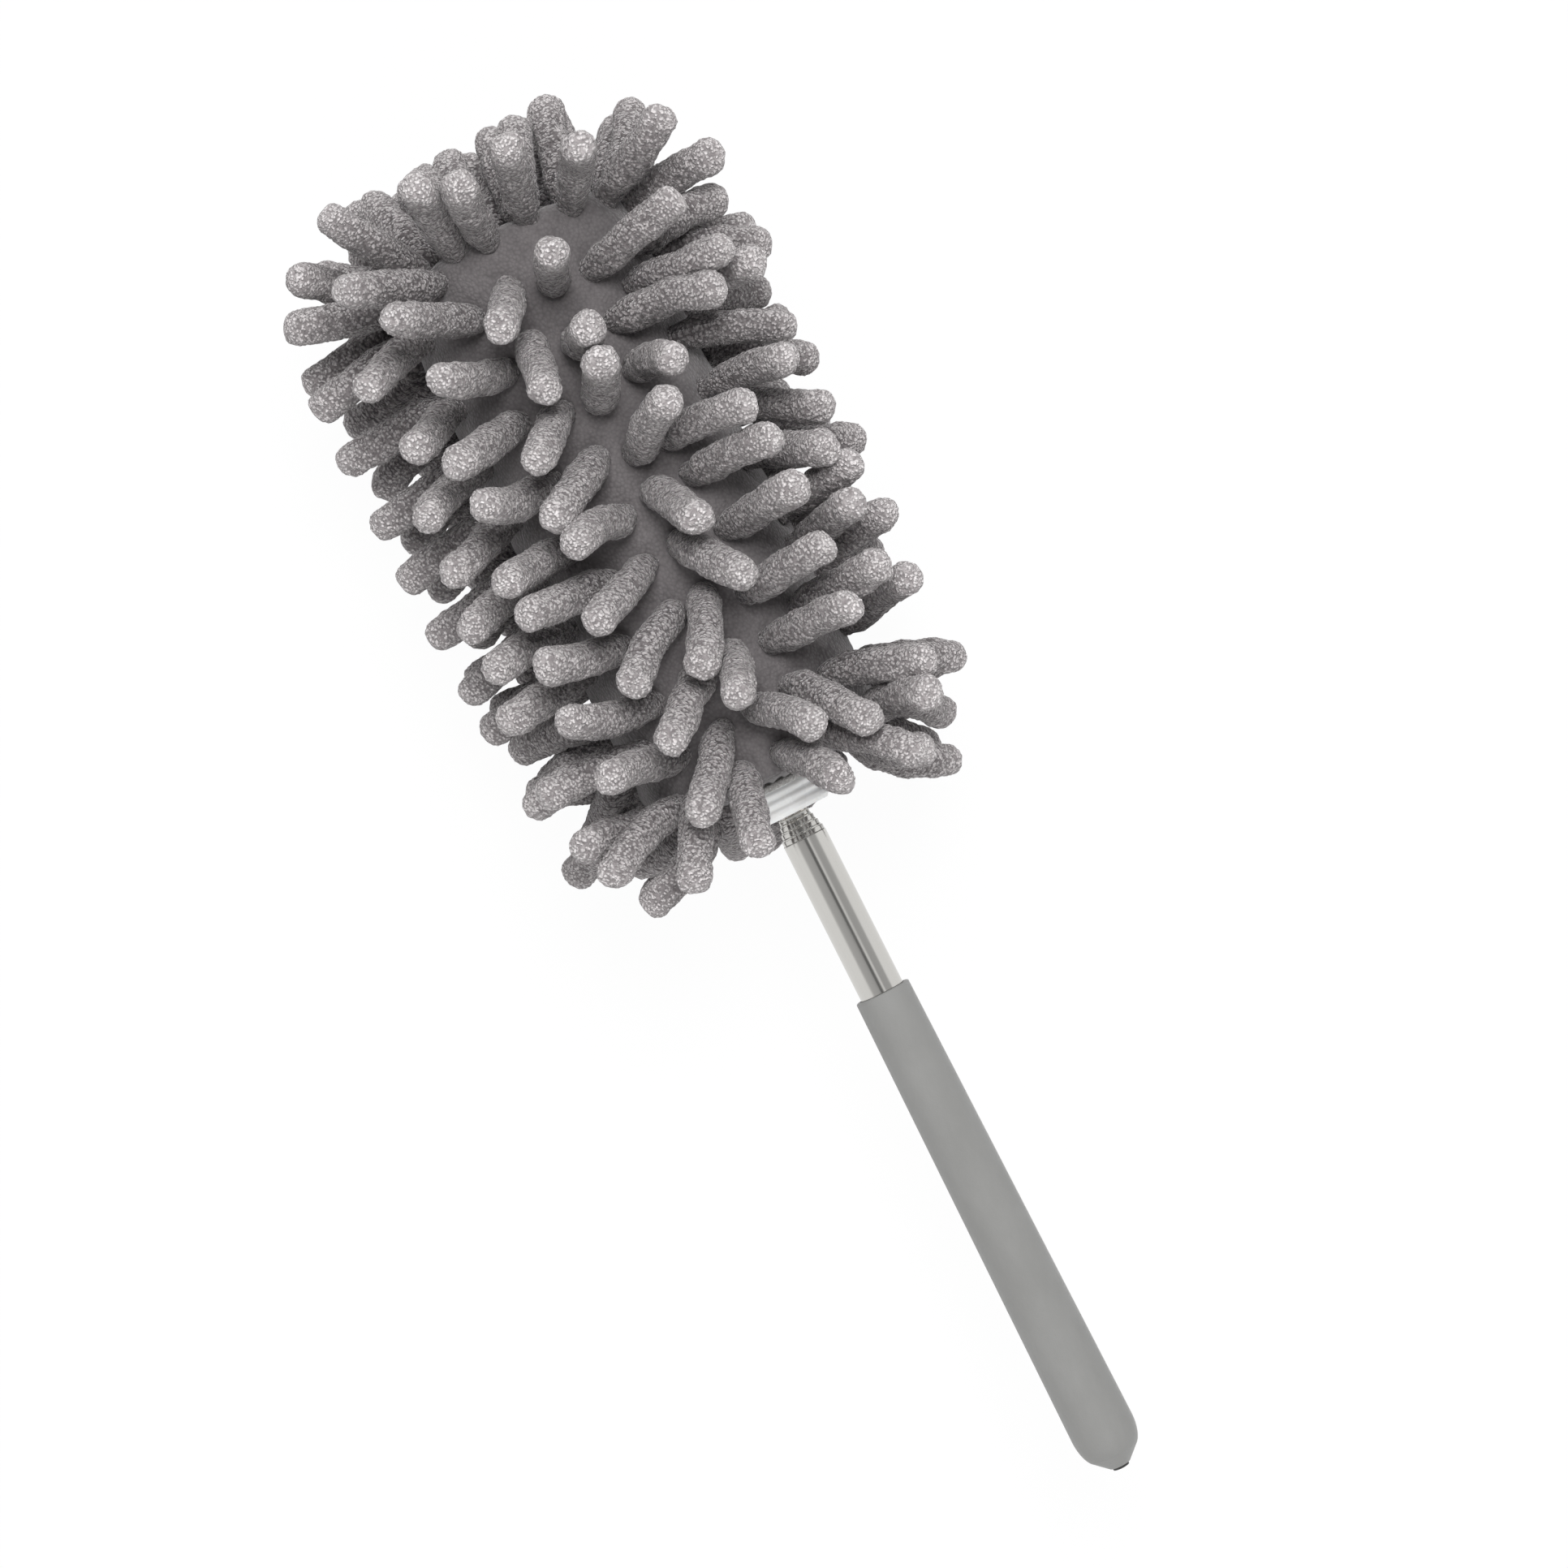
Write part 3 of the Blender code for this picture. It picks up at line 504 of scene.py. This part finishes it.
zinc = Finish("zinc_plate", (0.52, 0.53, 0.55), 0.3, metallic=1.0)
zinc.wear(zinc.cloudy(1800, 1800, Detail=2), (0.3, 0.22), (0.7, 0.42))
zinc.put_on(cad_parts["cap_screw"])


# Cover cloth
# A sleeve of grey microfibre knit, closed at the crown and pulled tight over the foam. Elastic in its hem
# gathers it round the neck. The root of each finger is sewn through it and dimples it.

head_radius = 0.0267
cloth_thickness = 0.0020
edge_radius = 0.0045
row_pitch = 0.0120
row_count = 9
hem_foot = neck_end.x + neck_length
end_band = 0.0075
rows_start = hem_foot + end_band
rows_end = rows_start + row_count * row_pitch
crown_top = rows_end + end_band
flat_radius = head_radius - edge_radius
edge_steps = 12
crown_eye_radius = 0.0002
hem_gap = 0.0004
gather_count = 26
gather_depth = 0.0007
gather_reach = 0.006
gather_sway = 5
gather_sway_size = 0.012
wrinkle_depth = 0.00035
wrinkle_size = 0.007
stitch_length = 0.0007
cloth_sides = 240
cloth_step = 0.0008

lattice_side = 48
lattice = np.random.default_rng(11).random((lattice_side,) * 3)


def drift(points, size):
    """Smooth random values from 0 to 1 at these points, with features of this size."""
    cell = np.asarray(points) / size
    corner = np.floor(cell).astype(int)
    share = cell - corner
    share = share * share * (3 - 2 * share)
    total = 0
    for step in product((0, 1), repeat=3):
        weight = np.prod(np.where(step, share, 1 - share), axis=-1)
        x, y, z = np.moveaxis((corner + step) % lattice_side, -1, 0)
        total = total + weight * lattice[x, y, z]
    return total


edge_turns = [math.radians(90 * step / edge_steps) for step in range(edge_steps + 1)]
cloth_outline = np.array(
    [(hem_foot, neck_radius + hem_gap)]
    + [
        (hem_foot + edge_radius * (1 - math.cos(turn)), flat_radius + edge_radius * math.sin(turn))
        for turn in edge_turns
    ]
    + [
        (crown_top - edge_radius * (1 - math.sin(turn)), flat_radius + edge_radius * math.cos(turn))
        for turn in edge_turns
    ]
    + [(crown_top, crown_eye_radius)]
)
run = np.concatenate([[0], np.cumsum(np.linalg.norm(np.diff(cloth_outline, axis=0), axis=1))])
stations = np.linspace(0, run[-1], int(run[-1] / cloth_step))
profile = np.stack([np.interp(stations, run, cloth_outline[:, i]) for i in (0, 1)], axis=1)
rise = np.gradient(profile, axis=0)
rise /= np.linalg.norm(rise, axis=1)[:, None]
profile_normals = np.stack([-rise[:, 1], rise[:, 0]], axis=1)

finger_diameter = 0.0070
finger_length = 0.0244
finger_knee = 0.0012
finger_gap = 0.0003
hem_row_drop = 0.0035
hem_ring_share = 0.88

# Each finger of each row, from the crown down to the hem: its angle round the head from the top, its place
# off the row as a share of the pitch, its lean towards the grip and its swing round the head.
row_fingers = (
    (
        (-138, 0, 4, 16), (-112, 0, 8, 2), (-84, 0.25, 9, -4), (-60, 0.1, 16, 21), (-27, -0.1, -14, -14),
        (-6, 0.02, 24, -10), (10, -0.16, -5, -3), (30, -0.18, -8, 38), (58, 0, -3, 59), (84, -0.14, 25, 10),
        (112, 0, 12, -18), (138, 0, 9, 3),
    ),
    (
        (-138, 0, 16, 16), (-112, 0, 18, 7), (-86, 0.07, 3, -1), (-62, -0.16, 16, 35), (-24, -0.11, -6, -9),
        (-8, 0.1, 35, 2), (9, -0.25, 2, -2), (29, -0.14, 13, 44), (46, 0.25, 6, 14), (74, 0, 10, -24),
        (112, 0, 11, 11), (138, 0, 0, 12),
    ),
    (
        (-138, 0, 14, 18), (-112, 0, 21, 15), (-86, 0, 10, -1), (-64, -0.22, 17, 25), (-31, 0.03, 9, -9),
        (-10, -0.15, 24, -17), (7, -0.25, -11, 1), (27, 0, 12, -9), (58, 0.25, 23, 31), (86, 0, 31, 24),
        (112, 0, -2, 4), (138, 0, 13, -1),
    ),
    (
        (-138, 0, 18, 30), (-112, 0, 19, 3), (-86, -0.03, 9, -1), (-60, -0.25, 16, 14),
        (-30, -0.14, -4, -6), (-6, -0.1, 23, -35), (9, -0.25, -11, 21), (25, -0.25, 9, 26),
        (60, 0.25, 10, -13), (84, -0.14, 26, -33), (112, 0, 30, 4), (138, 0, 3, -27),
    ),
    (
        (-138, 0, 19, 17), (-112, 0, 17, -15), (-86, -0.08, 8, -8), (-64, -0.25, 14, 16), (-37, -0.2, 5, 1),
        (-7, -0.12, 8, -23), (9, 0, 29, 6), (28, 0.03, 7, 24), (64, -0.08, 18, -22), (90, 0, 18, 36),
        (112, 0, 24, -6), (138, 0, 0, 12),
    ),
    (
        (-138, 0, 16, 24), (-112, 0, 8, 10), (-86, 0, 16, -10), (-62, -0.25, 7, 17), (-26, 0, -2, -25),
        (-8, 0, 19, -35), (9, 0.05, 36, 20), (31, -0.03, 0, 14), (72, -0.16, -6, -25), (98, 0, 33, 29),
        (112, 0, -8, 18), (138, 0, 11, 1),
    ),
    (
        (-138, 0, 5, 23), (-112, 0, -3, -3), (-88, 0, 6, -21), (-64, -0.1, 7, 10), (-35, -0.06, -8, -8),
        (-8, 0.1, 30, -35), (9, 0.12, 39, -36), (26, -0.1, 1, 27), (68, 0.25, -3, -33), (88, -0.2, -7, -37),
        (112, 0, 8, 26), (138, 0, 13, -1),
    ),
    (
        (-138, 0, 14, -10), (-112, 0, 13, -14), (-98, -0.16, 19, 32), (-74, 0.1, -5, -52),
        (-34, -0.13, -12, -14), (-7, -0.05, 27, -30), (8, 0.07, 25, -18), (26, -0.02, 5, 23),
        (48, 0.25, 0, 5), (82, -0.25, -4, -40), (112, 0, 0, 10), (138, 0, 0, 12),
    ),
    (
        (-138, 0, 10, -6), (-112, 0, -18, 16), (-90, 0, 24, -49), (-52, 0.25, -1, -17),
        (-34, -0.03, -3, -5), (-11, -0.02, 38, -28), (6, 0.12, 27, 21), (25, 0.1, 38, 11), (45, 0, 17, 16),
        (78, -0.08, 18, 45), (112, 0, 18, 20), (138, 0, 37, -5),
    ),
    (
        (-138, 0, 0, 8), (-112, 0, 7, -23), (-88, 0, 9, -34), (-64, 0, -2, 18), (-48, 0, 20, -6),
        (-31, 0, 46, -6), (-11, 0, 42, -1), (8, 0, 29, 15), (29, 0, 35, 21), (58, 0, 8, -27),
        (86, 0, 20, 66), (112, 0, 6, 36), (138, 0, 39, -15),
    ),
)
# Two more in each row carry the duster.
floor_column = 164
floor_swing = 16
# On the crown's rounding: angle, how far round the rounding, lean and swing.
shoulder_fingers = (
    (-100, 0, 9, 12), (-90, 40, -33, 39), (-66, 5, -15, -18), (-48, 60, -45, 6), (-36, 0, -13, -14),
    (-23, 60, -27, 20), (-6, 35, -21, 6), (15, 55, -26, -9), (36, 30, -13, -21), (59, 25, -18, -8),
    (78, 0, 3, -19), (86, 55, -44, 52), (113, 66, -41, 29), (138, 66, -19, -24), (163, 66, -24, 0),
    (-164, 66, -24, 0), (-139, 66, -47, 20), (-122, 66, -38, 24),
)
# On the flat of the hem: angle, lean and swing.
hem_fingers = (
    (-170, 24, 0), (-140, 21, -38), (-110, 24, -20), (-80, 3, -56), (-50, 27, -28), (78, 17, -49),
    (110, 32, 4), (140, 4, 45), (170, 8, 8),
)
# On the flat of the crown: share of its radius, angle, lean and swing.
crown_fingers = (
    (0.42, 36, -68, 132), (0.42, 108, -53, 34), (0.42, -180, -73, 0), (0.42, -108, -68, -41),
    (0.42, -36, -65, -160), (0.8, 20, -57, 126), (0.8, 60, -67, 92), (0.8, 100, -84, 17),
    (0.8, 140, -61, 3), (0.8, -180, -52, 0), (0.8, -140, -65, -9), (0.8, -100, -68, -20),
    (0.8, -60, -59, -91), (0.8, -20, -56, -146), (0, 0, -56, 141),
)


def pointing(angle, lean):
    """A direction at this angle round the pole, in degrees from the top, that leans towards the grip."""
    angle, lean = math.radians(angle), math.radians(lean)
    return np.array((-math.sin(lean), -math.sin(angle) * math.cos(lean), math.cos(angle) * math.cos(lean)))


roots, root_normals, aims, slices = [], [], [], []


def sew_on(piece, radius, along, angle, normal_lean, lean, swing):
    """Notes a finger of this slice of the cover: its root, the cloth's normal there and its direction."""
    roots.append(round_the_pole(along, radius, math.radians(angle)))
    root_normals.append(pointing(angle, normal_lean))
    aims.append(pointing(angle + swing, lean))
    slices.append(piece)


for row in range(row_count + 1):
    on_floor = tuple((side * floor_column, 0, 0, side * floor_swing) for side in (1, -1))
    for angle, share, lean, swing in row_fingers[row] + on_floor:
        if row < row_count:
            piece, along = f"row_{row + 1}", rows_end - (row + 0.5) * row_pitch + share * row_pitch
        else:
            piece, along = "hem", rows_start - hem_row_drop
        sew_on(piece, head_radius, along, angle, 0, lean, swing)
for angle, lean, swing in hem_fingers:
    sew_on("hem", flat_radius * hem_ring_share, hem_foot, angle, 90, lean, swing)
for angle, tilt, lean, swing in shoulder_fingers:
    shoulder_radius = flat_radius + edge_radius * math.cos(math.radians(tilt))
    shoulder_along = crown_top - edge_radius * (1 - math.sin(math.radians(tilt)))
    sew_on("crown", shoulder_radius, shoulder_along, angle, -tilt, lean, swing)
for share, angle, lean, swing in crown_fingers:
    sew_on("crown", flat_radius * share, crown_top, angle, -90, lean, swing)
roots, root_normals, aims, slices = (np.array(x) for x in (roots, root_normals, aims, slices))

finger_count = len(roots)
finger_knees = roots + root_normals * finger_knee
# Fingers that would touch push each other aside, as beads on each of them do.
bead_shares = np.linspace(0.1, 1, 6)
push_rounds = 120
bead_reach = finger_length - finger_knee - finger_diameter / 2
owners = np.repeat(np.arange(finger_count), len(bead_shares))
others = owners[:, None] != owners[None, :]
for _ in range(push_rounds):
    beads = (finger_knees[:, None] + bead_reach * aims[:, None] * bead_shares[:, None]).reshape(-1, 3)
    apart = beads[:, None] - beads[None, :]
    distance = np.linalg.norm(apart, axis=2) + 1e-6
    lack = np.clip(finger_diameter + finger_gap - distance, 0, None) * others
    push = (apart / distance[:, :, None] * lack[:, :, None]).sum(axis=1)
    push *= np.tile(bead_shares, finger_count)[:, None]
    turn = np.zeros_like(aims)
    np.add.at(turn, owners, push)
    aims = aims + turn / (2 * bead_reach)
    aims /= np.linalg.norm(aims, axis=1, keepdims=True)

dimple_depth = 0.0009
dimple_radius = 0.0040
angles = np.linspace(0, math.tau, cloth_sides, endpoint=False)
along, radius, angle = profile[:, :1], profile[:, 1:], angles[None, :]
flat_cloth = round_the_pole(along, radius, angle)
dimples = np.zeros(flat_cloth.shape[:2])
for root in roots:
    dimples = np.maximum(dimples, np.exp(-np.sum((flat_cloth - root) ** 2, axis=2) / dimple_radius**2))
near_mouth = np.exp(-((stations[:, None] / gather_reach) ** 2))
gathers = near_mouth * np.sin(gather_count * angle + gather_sway * drift(flat_cloth, gather_sway_size))
height = (
    wrinkle_depth * (2 * drift(flat_cloth, wrinkle_size) - 1)
    + gather_depth * gathers
    - dimple_depth * dimples
    - gather_depth * near_mouth * 0.5
)
cloth_points = round_the_pole(
    along + profile_normals[:, :1] * height, radius + profile_normals[:, 1:] * height, angle
)
cover_cloth = skin_of("cover_cloth", cloth_points, caps=(-1,))
shell = cover_cloth.modifiers.new("cloth thickness", "SOLIDIFY")
shell.thickness = cloth_thickness / 2
shell.offset = -1

knit = Finish("grey_microfibre_knit", (0.11, 0.102, 0.103), 0.9)
knit.shader.inputs["Sheen Weight"].default_value = 0.25
knit.shader.inputs["Sheen Roughness"].default_value = 0.5
stitches = knit.beaded(1 / stitch_length)
patches = knit.cloudy(120, 120, Detail=3)
knit_shade = knit.add("Mix", Factor=0.35, A=patches, B=stitches)
knit.tint(knit_shade.outputs["Result"], (0.25, (0.165, 0.153, 0.155)), (0.7, (0.10, 0.092, 0.094)))
knit.wear(stitches, (0.1, 0.85), (0.7, 0.98))
knit.relief(stitches, -0.00025)
knit.put_on(cover_cloth)
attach(cover_cloth, "head")


# Hem elastic
# A ring of round elastic in the hem, which pulls the cloth in behind the ribs of the neck. It is gathered, so
# its cover is ruffled. It stays out of sight inside the hem.

elastic_foot, elastic_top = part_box("hem_elastic")
elastic_radius = (elastic_top.x - elastic_foot.x) / 2
elastic_ring = (elastic_top.z - elastic_foot.z) / 2 - elastic_radius
ruffle_count = 60
ruffle_depth = 0.0001
elastic_steps = 360
elastic_sides = 20
turns = np.linspace(0, math.tau, elastic_steps + 1)[:, None]
section = np.linspace(0, math.tau, elastic_sides, endpoint=False)[None, :]
ruffled = elastic_radius - ruffle_depth * (0.5 - 0.5 * np.cos(ruffle_count * turns))
elastic_points = round_the_pole(
    elastic_foot.x + elastic_radius + ruffled * np.sin(section),
    elastic_ring + ruffled * np.cos(section),
    turns,
)
elastic = skin_of("hem_elastic_ring", elastic_points, caps=())
join_up(elastic)

braid = Finish("braided_elastic", (0.5, 0.49, 0.48), 0.8)
strands = braid.beaded(3000)
braid.tint(strands, (0.1, (0.6, 0.59, 0.58)), (0.7, (0.32, 0.31, 0.30)))
braid.relief(strands, -0.0001)
braid.put_on(elastic)
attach(elastic, "head")
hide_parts("hem_elastic")


# Chenille fingers
# Each finger is a strip of looped microfibre pile, sewn into a closed soft tube and set in the cover by one
# end. It starts square to the cloth, bends where it is pushed, and its pile stands up in small curly tufts.

finger_rings = 56
finger_sides = 52
finger_crowding = 1.25
finger_bend = 0.0050
finger_bend_spread = 0.4
finger_root_depth = 0.0012
finger_root_share = 0.7
finger_swell_share = 0.22
finger_tip_length = 0.0040
finger_tip_start = 2.6
finger_tip_fullness = 2.2
finger_spread = 0.08
finger_radius = 0.00355
finger_wander = 0.0007
tuft_length = 0.00085
tuft_width = 0.00120
tuft_height = 0.00042
tuft_level = 0.45
tip_fluff = 0.6
lump_size = 0.0030
lump_height = 0.00040
floor_gap = 0.0001
floor_give = 0.0012

chance = np.random.default_rng(5)
tuft_lattice = chance.random((lattice_side, lattice_side, lattice_side, 3))


def tufts(points):
    """How far out these places on the straight pile lie, from 0 in a pit to 1 on a crest."""
    cell = points / (tuft_length, tuft_width, tuft_width)
    corner = np.floor(cell).astype(int)
    nearest = np.full(points.shape[:-1], np.inf)
    for step in product((-1, 0, 1), repeat=3):
        x, y, z = np.moveaxis((corner + step) % lattice_side, -1, 0)
        centre = corner + step + tuft_lattice[x, y, z]
        nearest = np.minimum(nearest, np.sum((cell - centre) ** 2, axis=-1))
    return 1 - np.clip(np.sqrt(nearest), 0, 1)


starts = roots - root_normals * finger_root_depth
bend_shares = 1 - finger_bend_spread / 2 + finger_bend_spread * chance.random((finger_count, 1))
bends = roots + root_normals * finger_bend * bend_shares
tips = finger_knees + aims * (finger_length - finger_knee)
share = np.linspace(0, 1, finger_rings)
share = 1 - (1 - share) ** finger_crowding
wander = chance.normal(size=(2, finger_count, 1, 3)) * finger_wander
t = share[None, :, None]
middles = (
    (1 - t) ** 2 * starts[:, None]
    + 2 * t * (1 - t) * bends[:, None]
    + t**2 * tips[:, None]
    + wander[0] * np.sin(math.pi * t) * t
    + wander[1] * np.sin(2 * math.pi * t) * 0.5
)
headings = np.gradient(middles, axis=1)
headings /= np.linalg.norm(headings, axis=2, keepdims=True)
# At each ring a way sideways and a way across it, carried along the finger without a twist.
any_way = (0.31, 0.52, 0.79)
side = np.cross(headings[:, 0], any_way)
sideways = []
for ring in range(finger_rings):
    side = side - headings[:, ring] * np.sum(side * headings[:, ring], axis=1, keepdims=True)
    side /= np.linalg.norm(side, axis=1, keepdims=True)
    sideways.append(side)
sideways = np.stack(sideways, axis=1)
crossways = np.cross(headings, sideways)

lengths = np.cumsum(np.linalg.norm(np.diff(middles, axis=1, prepend=middles[:, :1]), axis=2), axis=1)
to_tip = lengths[:, -1:] - lengths
reaches = lengths / lengths[:, -1:]
thickness = finger_root_share + (1 - finger_root_share) * np.clip(reaches / finger_swell_share, 0, 1)
tip_turn = np.clip(1 - to_tip / finger_tip_length, 0, 1)
thickness *= (1 - tip_turn**finger_tip_start) ** (1 / finger_tip_fullness)
thickness *= 1 - finger_spread / 2 + finger_spread * chance.random((finger_count, 1))
turns = np.linspace(0, math.tau, finger_sides, endpoint=False)
spokes = sideways[:, :, None] * np.cos(turns)[:, None] + crossways[:, :, None] * np.sin(turns)[:, None]
girths = (finger_radius * thickness)[:, :, None]
bare = middles[:, :, None] + spokes * girths[..., None]
run_up = np.broadcast_to(lengths[:, :, None], bare.shape[:3])
pile_places = np.stack([run_up, girths * np.cos(turns), girths * np.sin(turns)], axis=3)
pile_places += chance.random((finger_count, 1, 1, 3))
crests = tufts(pile_places)
lumps = 2 * drift(bare, lump_size) - 1
out = tuft_height * (crests - tuft_level) + lump_height * lumps
finger_points = bare + spokes * out[..., None] * np.clip(3 * thickness, 0, 1)[:, :, None, None]
finger_points += headings[:, :, None] * (out * tip_turn[:, :, None])[..., None] * tip_fluff
# Tips that reach the floor are pressed flat on it.
crush = floor_give - floor_gap
low = np.minimum(finger_points[..., 2], floor_give)
finger_points[..., 2] += floor_gap + crush * np.exp((low - floor_give) / crush) - low

pile = Finish("grey_chenille_pile", (0.25, 0.23, 0.23), 0.92)
pile.shader.inputs["Sheen Weight"].default_value = 0.6
pile.shader.inputs["Sheen Roughness"].default_value = 0.4
pile.shader.inputs["Sheen Tint"].default_value = (0.95, 0.92, 0.92, 1)
# Noted on the mesh below: a point's place on the straight pile, how far out of it and how near the tip it is.
noted = {}
for name in ("pile_place", "crest", "reach"):
    noted[name] = pile.add("Attribute")
    noted[name].attribute_name = name
loops_lie = pile.add("Mapping", Vector=noted["pile_place"].outputs["Vector"], Scale=(1750, 1400, 1400))
kinks = pile.add("TexNoise", Vector=loops_lie.outputs["Vector"], Scale=0.8, Detail=2)
kinked = pile.add("VectorMath", Vector=kinks.outputs["Color"])
kinked.operation = "MULTIPLY_ADD"
kinked.inputs[1].default_value = (0.9, 0.9, 0.9)
pile.tree.links.new(loops_lie.outputs["Vector"], kinked.inputs[2])
loops = pile.add("TexVoronoi", Vector=kinked.outputs["Vector"], Scale=1)
fibres = pile.add("TexNoise", Vector=loops_lie.outputs["Vector"], Scale=2.6, Detail=3, Roughness=0.6)
loop_tops = pile.ramp(loops.outputs["Distance"], (0.34, 1.0), (0.66, 0.0))
# Painted shade: the pits between the tufts on the mesh are painted darker than their crests.
painted_pit_shade = pile.ramp(noted["crest"].outputs["Fac"], (0.2, 0.0), (0.65, 1.0))
# Painted shade: each finger's pile is painted dark at its root and light towards its tip, as light reaches
# the tips and not the roots.
painted_root_shade = pile.ramp(
    noted["reach"].outputs["Fac"], (0.0, 0.05), (0.25, 0.21), (0.7, 0.43), (0.92, 0.72), (1.0, 0.86)
)
# The loops and fibres are the pile's grain; the tufts' painted pit shade is mixed in after them.
pile_grain_and_pit_shade = pile.add("Mix", Factor=0.25, A=loop_tops, B=fibres.outputs["Fac"])
pile_grain_and_pit_shade = pile.add("Mix", Factor=0.25, A=pile_grain_and_pit_shade.outputs["Result"], B=painted_pit_shade)
# The painted root shade, mixed with the grain and its painted pit shade, sets the pile's colour.
pile_shade = pile.add("Mix", Factor=0.5, A=painted_root_shade, B=pile_grain_and_pit_shade.outputs["Result"])
pile.tint(
    pile_shade.outputs["Result"],
    (0.0, (0.035, 0.031, 0.032)),
    (0.25, (0.10, 0.090, 0.092)),
    (0.5, (0.255, 0.234, 0.237)),
    (0.75, (0.58, 0.545, 0.548)),
    (1.0, (0.86, 0.83, 0.83)),
)
pile.wear(fibres.outputs["Fac"], (0.3, 0.85), (0.7, 0.98))
pile.relief(pile_grain_and_pit_shade.outputs["Result"], 0.0009)

reaches = np.broadcast_to(reaches[:, :, None], crests.shape)
for name in dict.fromkeys(slices.tolist()):
    mine = slices == name
    fingers = skin_of(f"chenille_fingers_{name}", finger_points[mine])
    for what, kind, field, values in (
        ("crest", "FLOAT", "value", crests),
        ("reach", "FLOAT", "value", reaches),
        ("pile_place", "FLOAT_VECTOR", "vector", pile_places),
    ):
        note = fingers.data.attributes.new(what, kind, "POINT")
        note.data.foreach_set(field, values[mine].ravel().astype(np.float32))
    pile.put_on(fingers)
    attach(fingers, "head")
    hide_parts(f"cover_{name}")


# Studio
# A pale floor, an even pale sky with darker bands for the steel to mirror, a wide soft lamp beyond the head
# with a weak one across from it, and the camera straight above.

floor_half_width = 3
floor_glow = 0.96
room_grey = (0.28, 0.28, 0.28, 1)
white = (1, 1, 1, 1)

floor_shape = bmesh.new()
bmesh.ops.create_grid(floor_shape, x_segments=1, y_segments=1, size=floor_half_width)
floor_mesh = bpy.data.meshes.new("pale_floor")
floor_shape.to_mesh(floor_mesh)
floor_shape.free()
floor = bpy.data.objects.new("pale_floor", floor_mesh)
bpy.context.collection.objects.link(floor)
paper = Finish("white_paper", (0.9, 0.9, 0.9), 0.9)
glow = paper.add("Emission", Color=white, Strength=1.0)
seen = paper.add("LightPath").outputs
looked_at = reckoned(paper.tree, "MAXIMUM", seen["Is Camera Ray"], seen["Is Glossy Ray"])
looked_at = reckoned(paper.tree, "MAXIMUM", looked_at, seen["Is Transmission Ray"])
shining = paper.add("MixShader", Fac=reckoned(paper.tree, "MULTIPLY", looked_at, floor_glow))
for socket, shader in zip(shining.inputs[1:], (paper.shader, glow)):
    paper.tree.links.new(shader.outputs[0], socket)
paper.tree.links.new(shining.outputs[0], paper.tree.nodes["Material Output"].inputs["Surface"])
paper.put_on(floor)

sky = bpy.data.worlds.new("studio_sky")
sky.use_nodes = True
bpy.context.scene.world = sky
sky_tree = sky.node_tree
heading = sky_tree.nodes.new("ShaderNodeSeparateXYZ")
sky_tree.links.new(sky_tree.nodes.new("ShaderNodeTexCoord").outputs["Generated"], heading.inputs[0])
half_sky = sky_tree.nodes.new("ShaderNodeMapRange")
half_sky.inputs["From Min"].default_value = -math.pi / 2
half_sky.inputs["From Max"].default_value = math.pi / 2
across = reckoned(sky_tree, "ARCTAN2", heading.outputs["Y"], heading.outputs["Z"])
sky_tree.links.new(across, half_sky.inputs["Value"])
bands = sky_tree.nodes.new("ShaderNodeValToRGB")
# Degrees from straight above, across the pole, and the grey there.
stops = (
    (-90, 1.0), (-62, 1.0), (-54, 0.5), (-22, 0.48), (-17, 0.9), (-11, 0.9), (-7, 0.15), (3, 0.15),
    (10, 0.5), (44, 0.56), (54, 1.0), (90, 1.0),
)
while len(bands.color_ramp.elements) < len(stops):
    bands.color_ramp.elements.new(1)
for element, (degrees, grey) in zip(bands.color_ramp.elements, stops):
    element.position = 0.5 + degrees / 180
    element.color = (grey, grey, grey, 1)
sky_tree.links.new(half_sky.outputs[0], bands.inputs[0])


def either(share, without, with_it):
    """The first colour where the share is 0 and the second where it is 1. The first may be a plain colour."""
    mix = sky_tree.nodes.new("ShaderNodeMix")
    mix.data_type = "RGBA"
    sky_tree.links.new(share, mix.inputs["Factor"])
    for socket, colour in zip(mix.inputs[6:8], (without, with_it)):
        if isinstance(colour, bpy.types.NodeSocket):
            sky_tree.links.new(colour, socket)
        else:
            socket.default_value = colour
    return mix.outputs[2]


ray = sky_tree.nodes.new("ShaderNodeLightPath").outputs
mirrored = either(ray["Is Glossy Ray"], room_grey, bands.outputs["Color"])
seen_through = reckoned(sky_tree, "MAXIMUM", ray["Is Camera Ray"], ray["Is Transmission Ray"])
sky_tree.links.new(either(seen_through, mirrored, white), sky_tree.nodes["Background"].inputs["Color"])

for name, place, width, watts in (
    ("wide_soft_lamp", (0.36, -0.20, 1.1), 0.5, 12.6),
    ("fill_lamp", (-0.50, 0.16, 0.75), 0.7, 3.5),
):
    lamp_data = bpy.data.lights.new(name, "AREA")
    lamp_data.size = width
    lamp_data.energy = watts
    lamp = bpy.data.objects.new(name, lamp_data)
    lamp.location = place
    lamp.rotation_euler = (Vector((0, 0, pole_height)) - lamp.location).to_track_quat("-Z", "Y").to_euler()
    lamp.visible_glossy = False
    bpy.context.collection.objects.link(lamp)

camera_height = 0.75
looked_at_place = Vector((0.0036, -0.0012, pole_height))
camera_data = bpy.data.cameras.new("camera")
camera_data.sensor_width = 36
camera_data.lens = 83.9
camera = bpy.data.objects.new("camera", camera_data)
photo_right = Vector((-0.45, -0.893, 0)).normalized()
photo_up = Vector((0.893, -0.45, 0)).normalized()
facing = photo_right.cross(photo_up)
seat = looked_at_place + facing * camera_height
camera.matrix_world = Matrix(
    [(*row, place) for row, place in zip(zip(photo_right, photo_up, facing), seat)] + [(0, 0, 0, 1)]
)
bpy.context.collection.objects.link(camera)
bpy.context.scene.camera = camera
bpy.context.scene.view_settings.view_transform = "Standard"
